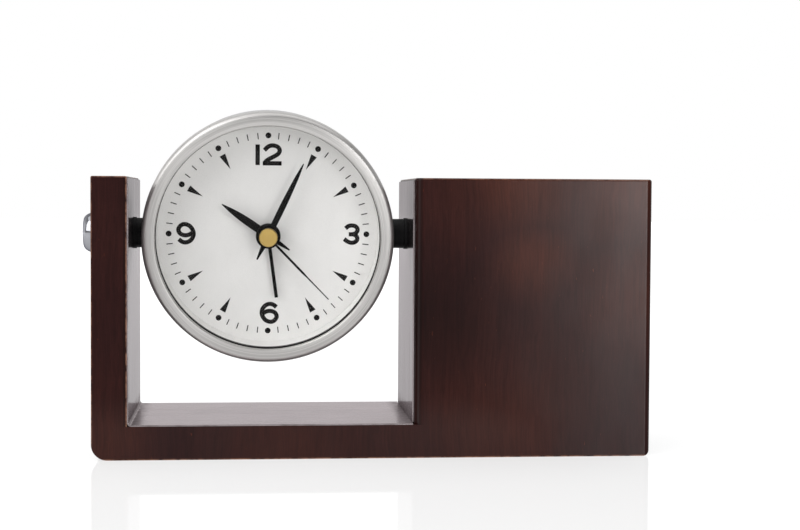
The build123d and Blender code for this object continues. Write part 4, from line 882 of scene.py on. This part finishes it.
def sheet_with_hole(bm, size, x, y_low, y_high, z_low, z_high):
    """Upright flat sheet across x with the bush's round hole; returns its lower edge."""
    corners = [
        bm.verts.new((x, y, z))
        for y, z in ((y_low, z_low), (y_high, z_low), (y_high, z_high), (y_low, z_high))
    ]
    outline = [bm.edges.new((corners[i], corners[i - 1])) for i in range(4)]
    hole_place = Matrix.Translation((x, 0, swivel_point()[2]))
    hole = bmesh.ops.create_circle(
        bm, segments=48, radius=size.hole_radius,
        matrix=hole_place @ Matrix.Rotation(QUARTER_TURN, 4, "Y"),
    )
    rim = {edge for vert in hole["verts"] for edge in vert.link_edges}
    bmesh.ops.triangle_fill(bm, edges=outline + list(rim), use_beauty=True)
    return bm.edges.get((corners[0], corners[1]))


def make_sheet(bm, size, thickness):
    """Thickens a surface into sheet, rounds its cut edges and lays out its brushing.

    In the UV map u runs across the brushing, from front to back, on every face. A little
    of x and z goes into it, so that no face is a line there.
    """
    bmesh.ops.solidify(bm, geom=bm.faces[:], thickness=thickness)
    bmesh.ops.recalc_face_normals(bm, faces=bm.faces)
    sharp = [
        edge for edge in bm.edges
        if len(edge.link_faces) == 2 and edge.calc_face_angle(0.0) > CUT_EDGE
    ]
    bmesh.ops.bevel(
        bm, geom=sharp, offset=size.sheet_edge, offset_type="OFFSET", segments=2, profile=0.5,
        affect="EDGES", clamp_overlap=True, material=-1,
    )
    layer = bm.loops.layers.uv.new("sheet")
    for face in bm.faces:
        for loop in face.loops:
            x, y, z = loop.vert.co
            loop[layer].uv = ((y + 0.01 * (x + z)) * 10, (x - z) * 10)


class DESKCLOCK_OT_liners(bpy.types.Operator):
    """Bend the brushed liner sheets into the gap"""

    bl_idname = "desk_clock.liners"
    bl_label = "Gap Liners"

    def execute(self, context):
        size = context.scene.desk_clock_stand
        finish = context.scene.desk_clock_finish
        left_low, left_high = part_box("liner_left")
        floor_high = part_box("liner_floor")[1]
        right_low, right_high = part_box("liner_right")
        bend = size.bend_radius

        bm = bmesh.new()
        lower = sheet_with_hole(
            bm, size, left_high.x, left_low.y, left_high.y, floor_high.z + bend, left_high.z,
        )
        turned = bmesh.ops.spin(
            bm, geom=[lower, *lower.verts], cent=(left_high.x + bend, 0, floor_high.z + bend),
            axis=(0, -1, 0), angle=QUARTER_TURN, steps=8,
        )
        last = [item for item in turned["geom_last"] if isinstance(item, bmesh.types.BMEdge)]
        run = bmesh.ops.extrude_edge_only(bm, edges=last)
        flat_length = floor_high.x - left_high.x - bend
        bmesh.ops.translate(bm, verts=verts_of(run["geom"]), vec=(flat_length, 0, 0))
        bmesh.ops.remove_doubles(bm, verts=bm.verts, dist=MERGE_DISTANCE)
        bmesh.ops.recalc_face_normals(bm, faces=bm.faces)
        if sum(face.normal.z for face in bm.faces if abs(face.normal.z) > 0.9) > 0:
            bmesh.ops.reverse_faces(bm, faces=bm.faces)
        make_sheet(bm, size, -size.sheet_thickness)
        upright = sheet_material("upright", finish)
        tray = show(
            "liner_tray", bm, "stand", upright, ("liner_left", "liner_floor"),
        )
        tray.data.materials.append(sheet_material("flat", finish))
        for face in tray.data.polygons:
            past_bend = face.center.x > left_high.x + bend / 2
            face.material_index = int(abs(face.normal.z) > 0.7 and past_bend)

        bm = bmesh.new()
        sheet_with_hole(
            bm, size, right_low.x, right_low.y, right_high.y,
            right_low.z + size.sheet_thickness, right_high.z,
        )
        bmesh.ops.recalc_face_normals(bm, faces=bm.faces)
        if bm.faces[:][0].normal.x > 0:
            bmesh.ops.reverse_faces(bm, faces=bm.faces)
        make_sheet(bm, size, size.sheet_thickness)
        show("liner_strip", bm, "stand", upright, ("liner_right",))
        return {"FINISHED"}


class DESKCLOCK_OT_pivots(bpy.types.Operator):
    """Turn the domed swivel screws and dress the bushes and spacers"""

    bl_idname = "desk_clock.pivots"
    bl_label = "Swivel Screws"

    def execute(self, context):
        size = context.scene.desk_clock_stand
        finish = context.scene.desk_clock_finish
        chrome = plated_material(
            "screw_chrome", finish.chrome, 0.06, Specular_Tint=(0.3, 0.3, 0.33, 1),
        )
        handle_up = ROUND_HANDLE * (size.head_rise - size.head_rim)
        handle_out = ROUND_HANDLE * (size.head_radius - size.head_crown)
        dome = curve(
            20, (size.head_radius, size.head_rim), (size.head_radius, size.head_rim + handle_up),
            (size.head_crown + handle_out, size.head_rise), (size.head_crown, size.head_rise),
        )
        edge = size.head_edge
        swivel = swivel_point()
        for side, node in ((-1, "pivot_screw_left"), (1, "pivot_screw_right")):
            low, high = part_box(node)
            reach = high.x - low.x - size.seat_depth
            points = [
                (0, -reach), (size.shank_radius - edge, -reach), (size.shank_radius, edge - reach),
                (size.shank_radius, 0), (size.head_radius - edge, 0), (size.head_radius, edge),
                *dome, (0, size.head_rise),
            ]
            bm = spin_profile(points, 96)
            seat = low.x + size.seat_depth if side < 0 else high.x - size.seat_depth
            turn = Matrix.Rotation(side * QUARTER_TURN, 4, "Y")
            placement = Matrix.Translation((seat, swivel[1], swivel[2])) @ turn
            show(node + "_dome", bm, "clock", chrome, (node,), placement)
        spacer = moulded_material(
            "spacer_black", finish.spacer, 0.5, 0.15, Specular_IOR_Level=0.15,
        )
        bush = moulded_material("bush_nylon", finish.nylon, 0.5, 0.1, Specular_IOR_Level=0.15)
        dress(spacer, "spacer_left", "spacer_right")
        dress(bush, "pivot_bush_left", "pivot_bush_right")
        return {"FINISHED"}


def add_ring_layout(bm):
    """UV map that runs round the ring along u and across its profile along v."""
    layer = bm.loops.layers.uv.new("ring")
    for face in bm.faces:
        middle = face.calc_center_median()
        home = math.atan2(middle.y, middle.x)
        for loop in face.loops:
            place = loop.vert.co
            turn = math.atan2(place.y, place.x)
            turn += WHOLE_TURN * round((home - turn) / WHOLE_TURN)
            radius = math.hypot(place.x, place.y)
            loop[layer].uv = (turn / WHOLE_TURN, (radius + place.z) * 100)


class DESKCLOCK_OT_case(bpy.types.Operator):
    """Turn the convex bezel and the lens, and finish the drum"""

    bl_idname = "desk_clock.case"
    bl_label = "Case and Bezel"

    def execute(self, context):
        size = context.scene.desk_clock_front
        finish = context.scene.desk_clock_finish
        place = face_place()
        outer = half_width("bezel") - size.bezel_inset
        drum = half_width("case_shell")
        lens = half_width("lens")
        lens_front = size.lens_back + size.lens_thickness

        lip = outer - size.bezel_width
        band_start = (outer - size.corner_width, size.corner_front)
        band_end = (lip + size.lip_turn, size.crest_height - 0.06 * MM)
        corner = curve(
            12, (outer, size.corner_back),
            (outer, size.corner_back + 0.55 * (size.corner_front - size.corner_back)),
            (outer - 0.5 * size.corner_width, size.corner_front - 0.08 * MM), band_start,
        )
        band = curve(
            16, band_start, (band_start[0] - 0.9 * MM, size.crest_height),
            (band_end[0] + 0.9 * MM, size.crest_height + 0.02 * MM), band_end,
        )
        turn = curve(
            8, band_end, (lip + 0.15 * MM, size.crest_height - 0.15 * MM),
            (lip, size.crest_height - 0.5 * MM), (lip, size.lip_height),
        )
        points = corner + band[1:] + turn[1:] + [
            (lip, lens_front + 0.1 * MM), (lip + 0.1 * MM, lens_front), (lens, lens_front),
            (lens, size.lens_back), (drum, size.lens_back), (drum, size.bezel_back),
            (outer - 0.3 * MM, size.bezel_back), (outer, size.bezel_back + 0.3 * MM),
        ]
        bm = spin_profile(points, 192, closed=True)
        add_ring_layout(bm)
        metal = turned_material(
            "bezel_metal", finish.bezel, 4200.0, 0.34, 0.46, 0.17, Anisotropic=0.5,
            Anisotropic_Rotation=0.25,
        )
        follow_layout(metal.node_tree, "ring")
        show("bezel_ring", bm, "clock", metal, ("bezel",), place)

        edge = size.lens_edge
        bm = spin_profile([
            (0, size.lens_back), (lens - edge, size.lens_back), (lens, size.lens_back + edge),
            (lens, lens_front - edge), (lens - edge, lens_front), (0, lens_front),
        ], 128)
        show("lens_disc", bm, "clock", lens_material(), ("lens",), place)

        wall = half_width("dial") - size.ring_room
        low = size.dial_front + size.print_rise + size.ring_room
        high = size.lens_back - size.ring_room
        inner, edge = wall - size.ring_wall, size.ring_edge
        bm = spin_profile([
            (wall, low), (wall, high), (inner + edge, high), (inner, high - edge), (inner, low),
        ], 192, closed=True)
        show("dial_ring", bm, "clock", ring_material(finish), (), place)
        dress(case_material(finish), "case_shell")
        return {"FINISHED"}


def print_round(name, bm, size, count, skip=()):
    """Prints a flat mark at even steps round the dial, except where it is skipped."""
    mark = bm.verts[:] + bm.edges[:] + bm.faces[:]
    for step in range(count):
        if step not in skip:
            copy = bmesh.ops.duplicate(bm, geom=mark)
            turn = Matrix.Rotation(-WHOLE_TURN * step / count, 3, "Z")
            bmesh.ops.rotate(bm, verts=verts_of(copy["geom"]), cent=(0, 0, 0), matrix=turn)
    bmesh.ops.delete(bm, geom=mark, context="VERTS")
    grown = bmesh.ops.extrude_face_region(bm, geom=bm.faces[:])
    print_on_dial(name, bm, size, grown)


def print_on_dial(name, bm, size, grown):
    """Lifts what has been extruded by the print's thickness and shows it on the dial."""
    bmesh.ops.translate(bm, verts=verts_of(grown["geom"]), vec=(0, 0, size.print_rise))
    bmesh.ops.translate(bm, verts=bm.verts, vec=(0, 0, size.dial_front))
    bmesh.ops.recalc_face_normals(bm, faces=bm.faces)
    ink = bpy.data.materials.get("mark_ink") or ink_material()
    return show(name, bm, "clock", ink, (), face_place(), even=False)


class DESKCLOCK_OT_dial(bpy.types.Operator):
    """Paint the dial and print its dots, ticks and wedges"""

    bl_idname = "desk_clock.dial"
    bl_label = "Dial and Marks"

    def execute(self, context):
        size = context.scene.desk_clock_front
        finish = context.scene.desk_clock_finish
        dress(dial_material(finish), "dial")

        bm = bmesh.new()
        bmesh.ops.create_circle(bm, segments=32, radius=size.dot_radius, cap_ends=True)
        bmesh.ops.translate(bm, verts=bm.verts, vec=(0, size.dot_circle, 0))
        print_round("hour_dots", bm, size, 12)

        bm = bmesh.new()
        bmesh.ops.create_grid(bm, x_segments=1, y_segments=1, size=0.5)
        tick = (size.tick_width, size.tick_outer - size.tick_inner, 1)
        bmesh.ops.scale(bm, verts=bm.verts, vec=tick)
        middle = (size.tick_outer + size.tick_inner) / 2
        bmesh.ops.translate(bm, verts=bm.verts, vec=(0, middle, 0))
        print_round("minute_ticks", bm, size, 60, range(0, 60, 5))

        bm = bmesh.new()
        bmesh.ops.create_circle(bm, segments=3, radius=1.0, cap_ends=True)
        half_turn = Matrix.Rotation(math.pi, 3, "Z")
        bmesh.ops.rotate(bm, verts=bm.verts, cent=(0, 0, 0), matrix=half_turn)
        high = max(vert.co.y for vert in bm.verts)
        low = min(vert.co.y for vert in bm.verts)
        wide = max(vert.co.x for vert in bm.verts) * 2
        bmesh.ops.translate(bm, verts=bm.verts, vec=(0, -low, 0))
        wedge_length = size.wedge_base - size.wedge_tip
        wedge = (size.wedge_width / wide, wedge_length / (high - low), 1)
        bmesh.ops.scale(bm, verts=bm.verts, vec=wedge)
        bmesh.ops.translate(bm, verts=bm.verts, vec=(0, size.wedge_tip, 0))
        print_round("hour_wedges", bm, size, 12, (0, 3, 6, 9))
        return {"FINISHED"}


def add_stroke(bm, points):
    """Edges along a smooth line through a stroke's points."""
    knots = places = [Vector((x, y, 0)) for x, y in points]
    if len(knots) > 2:
        slopes = [(after - before) / 6 for before, after in zip(knots, knots[2:])]
        slopes = [(knots[1] - knots[0]) / 3] + slopes + [(knots[-1] - knots[-2]) / 3]
        places = [knots[0]]
        for start, end, leave, arrive in zip(knots, knots[1:], slopes, slopes[1:]):
            places += interpolate_bezier(start, start + leave, end - arrive, end, 7)[1:]
    verts = [bm.verts.new(place) for place in places]
    for pair in zip(verts, verts[1:]):
        bm.edges.new(pair)


class DESKCLOCK_OT_numerals(bpy.types.Operator):
    """Draw the four numerals as even strokes"""

    bl_idname = "desk_clock.numerals"
    bl_label = "Numerals"

    def execute(self, context):
        size = context.scene.desk_clock_front
        bm = bmesh.new()
        for stroke in STROKES:
            add_stroke(bm, stroke)
        bmesh.ops.scale(bm, verts=bm.verts, vec=(MM, MM, MM))
        wall = bmesh.ops.extrude_edge_only(bm, edges=bm.edges[:])
        piece = print_on_dial("numerals", bm, size, wall)
        thick = piece.modifiers.new("stroke_width", "SOLIDIFY")
        thick.thickness = size.numeral_stroke
        thick.offset = 0
        thick.use_even_offset = True
        return {"FINISHED"}


class DESKCLOCK_OT_hands(bpy.types.Operator):
    """Coat the hands and give the brass cap a turned finish"""

    bl_idname = "desk_clock.hands"
    bl_label = "Hands"

    def execute(self, context):
        finish = context.scene.desk_clock_finish
        dress(hand_material(finish), "hour_hand", "minute_hand", "seconds_hand", "alarm_hand")
        dress(turned_material("cap_brass", finish.brass, 6200.0, 0.3, 0.36, 0.03), "hand_cap")
        return {"FINISHED"}


class DESKCLOCK_OT_back(bpy.types.Operator):
    """Finish the moulded back, its knobs, switch, battery door and screws"""

    bl_idname = "desk_clock.back"
    bl_label = "Back of the Clock"

    def execute(self, context):
        finish = context.scene.desk_clock_finish
        cover = moulded_material("cover_black", finish.cover, 0.5, 0.5)
        knob = moulded_material("knob_black", finish.spacer, 0.34, 0.15)
        screw = plated_material("cover_screw_steel", linear(176, 176, 180), 0.25)
        dress(cover, "back_cover", "battery_door")
        dress(knob, "time_knob", "alarm_knob", "alarm_switch")
        dress(screw, "cover_screws")
        return {"FINISHED"}


class DESKCLOCK_OT_movement(bpy.types.Operator):
    """Finish the quartz movement's plates, wheels, coil, board and battery"""

    bl_idname = "desk_clock.movement"
    bl_label = "Movement"

    def execute(self, context):
        finish = context.scene.desk_clock_finish
        wheels = moulded_material("gear_white", finish.gears, 0.38, 0.1, Subsurface_Weight=0.1)
        plates = moulded_material("movement_black", linear(26, 26, 27), 0.42, 0.3)
        steel = plated_material("movement_steel", linear(172, 172, 175), 0.28)
        dress(
            wheels, "seconds_wheel", "minute_wheel", "hour_wheel", "alarm_wheel", "third_wheel",
            "intermediate_wheel", "motion_wheel", "alarm_set_wheel", "middle_plate",
        )
        dress(plates, "movement_front_plate", "movement_case")
        dress(
            steel, "stator", "coil_core", "battery_contact_plus", "battery_contact_minus",
            "quartz_crystal",
        )
        dress(coil_material(finish), "coil")
        dress(board_material(finish), "circuit_board")
        dress(moulded_material("chip_epoxy", linear(16, 16, 17), 0.2, 0.3), "driver_chip")
        dress(battery_material(finish), "battery")
        dress(sounder_material(finish), "buzzer")
        dress(plated_material("magnet_grey", linear(70, 70, 74), 0.5), "rotor")
        return {"FINISHED"}


# Stage

def seen_directly(tree):
    """One for rays that show the background: to the camera, in reflections and through glass."""
    path = put(tree, "ShaderNodeLightPath", {}).outputs
    return calc(
        tree, "MAXIMUM", path["Is Camera Ray"], path["Is Glossy Ray"],
        path["Is Transmission Ray"],
    )


def floor_material():
    """White gloss floor that keeps a faint shadow and reflection."""
    material, tree = start_material("floor_white", IOR=1.09, Emission_Color=(1, 1, 1, 1))
    seen = seen_directly(tree)
    base = mixed(tree, seen, (0.8, 0.8, 0.8, 1), (0.3, 0.3, 0.3, 1))
    return finished(material, base, 0.05, Emission_Strength=times(tree, seen, 0.6))


def surround():
    """White where it is the background, a dimmer room in front of the clock, plain soft light."""
    world = bpy.data.worlds.new("studio_surround")
    world.use_nodes = True
    tree = world.node_tree
    direction = put(tree, "ShaderNodeTexCoord", {}).outputs["Generated"]
    sideways, forward, upward = axes(tree, direction)
    room = times(
        tree, remap(tree, forward, -0.35, 0.1, 0.35, 1.0),
        remap(tree, upward, 0.3, 0.8, 1.0, 0.35), remap(tree, sideways, 0.2, 0.8, 1.0, 0.7),
    )
    camera = put(tree, "ShaderNodeLightPath", {}).outputs["Is Camera Ray"]
    shown = calc(tree, "MAXIMUM", room, camera)
    inputs = {0: seen_directly(tree), 2: SOFT_LIGHT, 3: shown}
    level = put(tree, "ShaderNodeMix", inputs, data_type="FLOAT").outputs[0]
    feed(tree, tree.nodes["Background"], {"Color": (1, 1, 1, 1), "Strength": level})
    return world


class DESKCLOCK_OT_studio(bpy.types.Operator):
    """Set up the pale floor, soft lamps and camera"""

    bl_idname = "desk_clock.studio"
    bl_label = "Studio"

    def execute(self, context):
        scene = context.scene
        bm = bmesh.new()
        bmesh.ops.create_grid(bm, x_segments=1, y_segments=1, size=FLOOR_HALF_WIDTH)
        mesh = bpy.data.meshes.new("studio_floor")
        bm.to_mesh(mesh)
        bm.free()
        floor = bpy.data.objects.new("studio_floor", mesh)
        scene.collection.objects.link(floor)
        mesh.materials.append(floor_material())

        camera_data = bpy.data.cameras.new("photo_camera")
        camera_data.lens = CAMERA_LENS
        camera_data.sensor_width = CAMERA_SENSOR
        camera_data.clip_start = CAMERA_NEAR
        camera = bpy.data.objects.new("photo_camera", camera_data)
        scene.collection.objects.link(camera)
        turn = Matrix.Rotation(CAMERA_YAW, 4, "Z") @ Matrix.Rotation(CAMERA_PITCH, 4, "X")
        turn = turn @ Matrix.Rotation(CAMERA_ROLL, 4, "Z")
        camera.matrix_world = Matrix.Translation(CAMERA_PLACE) @ turn
        scene.camera = camera

        for name, (place, aim, width, height, power) in SOFTBOXES.items():
            data = bpy.data.lights.new(name, "AREA")
            data.shape = "RECTANGLE"
            data.size = width
            data.size_y = height
            data.energy = power
            lamp = bpy.data.objects.new(name, data)
            scene.collection.objects.link(lamp)
            lamp.location = place
            towards = Vector(aim) - Vector(place)
            lamp.rotation_euler = towards.to_track_quat("-Z", "Y").to_euler()
        scene.world = surround()
        scene.view_settings.view_transform = "Standard"
        return {"FINISHED"}


class DESKCLOCK_PT_panel(bpy.types.Panel):
    """Lists the clock's pieces in the sidebar"""

    bl_idname = "DESKCLOCK_PT_panel"
    bl_label = "Desk Clock"
    bl_space_type = "VIEW_3D"
    bl_region_type = "UI"
    bl_category = "Desk Clock"

    def draw(self, context):
        layout = self.layout
        for step in STEPS:
            layout.operator(step.bl_idname)
        for setting, group in SETTINGS.items():
            column = layout.column()
            for name in group.__annotations__:
                column.prop(getattr(context.scene, setting), name)


STEPS = (
    DESKCLOCK_OT_stand,
    DESKCLOCK_OT_liners,
    DESKCLOCK_OT_pivots,
    DESKCLOCK_OT_case,
    DESKCLOCK_OT_dial,
    DESKCLOCK_OT_numerals,
    DESKCLOCK_OT_hands,
    DESKCLOCK_OT_back,
    DESKCLOCK_OT_movement,
    DESKCLOCK_OT_studio,
)
SETTINGS = {
    "desk_clock_stand": StandSettings,
    "desk_clock_front": ClockSettings,
    "desk_clock_finish": FinishSettings,
}


def register():
    for group in SETTINGS.values():
        bpy.utils.register_class(group)
    for name, group in SETTINGS.items():
        setattr(bpy.types.Scene, name, bpy.props.PointerProperty(type=group))
    for step in STEPS:
        bpy.utils.register_class(step)
    bpy.utils.register_class(DESKCLOCK_PT_panel)


def unregister():
    bpy.utils.unregister_class(DESKCLOCK_PT_panel)
    for step in reversed(STEPS):
        bpy.utils.unregister_class(step)
    for name, group in SETTINGS.items():
        delattr(bpy.types.Scene, name)
        bpy.utils.unregister_class(group)


def main():
    """Builds the whole clock."""
    register()
    bpy.ops.desk_clock.stand()
    bpy.ops.desk_clock.liners()
    bpy.ops.desk_clock.pivots()
    bpy.ops.desk_clock.case()
    bpy.ops.desk_clock.dial()
    bpy.ops.desk_clock.numerals()
    bpy.ops.desk_clock.hands()
    bpy.ops.desk_clock.back()
    bpy.ops.desk_clock.movement()
    bpy.ops.desk_clock.studio()


if __name__ == "__main__":
    main()
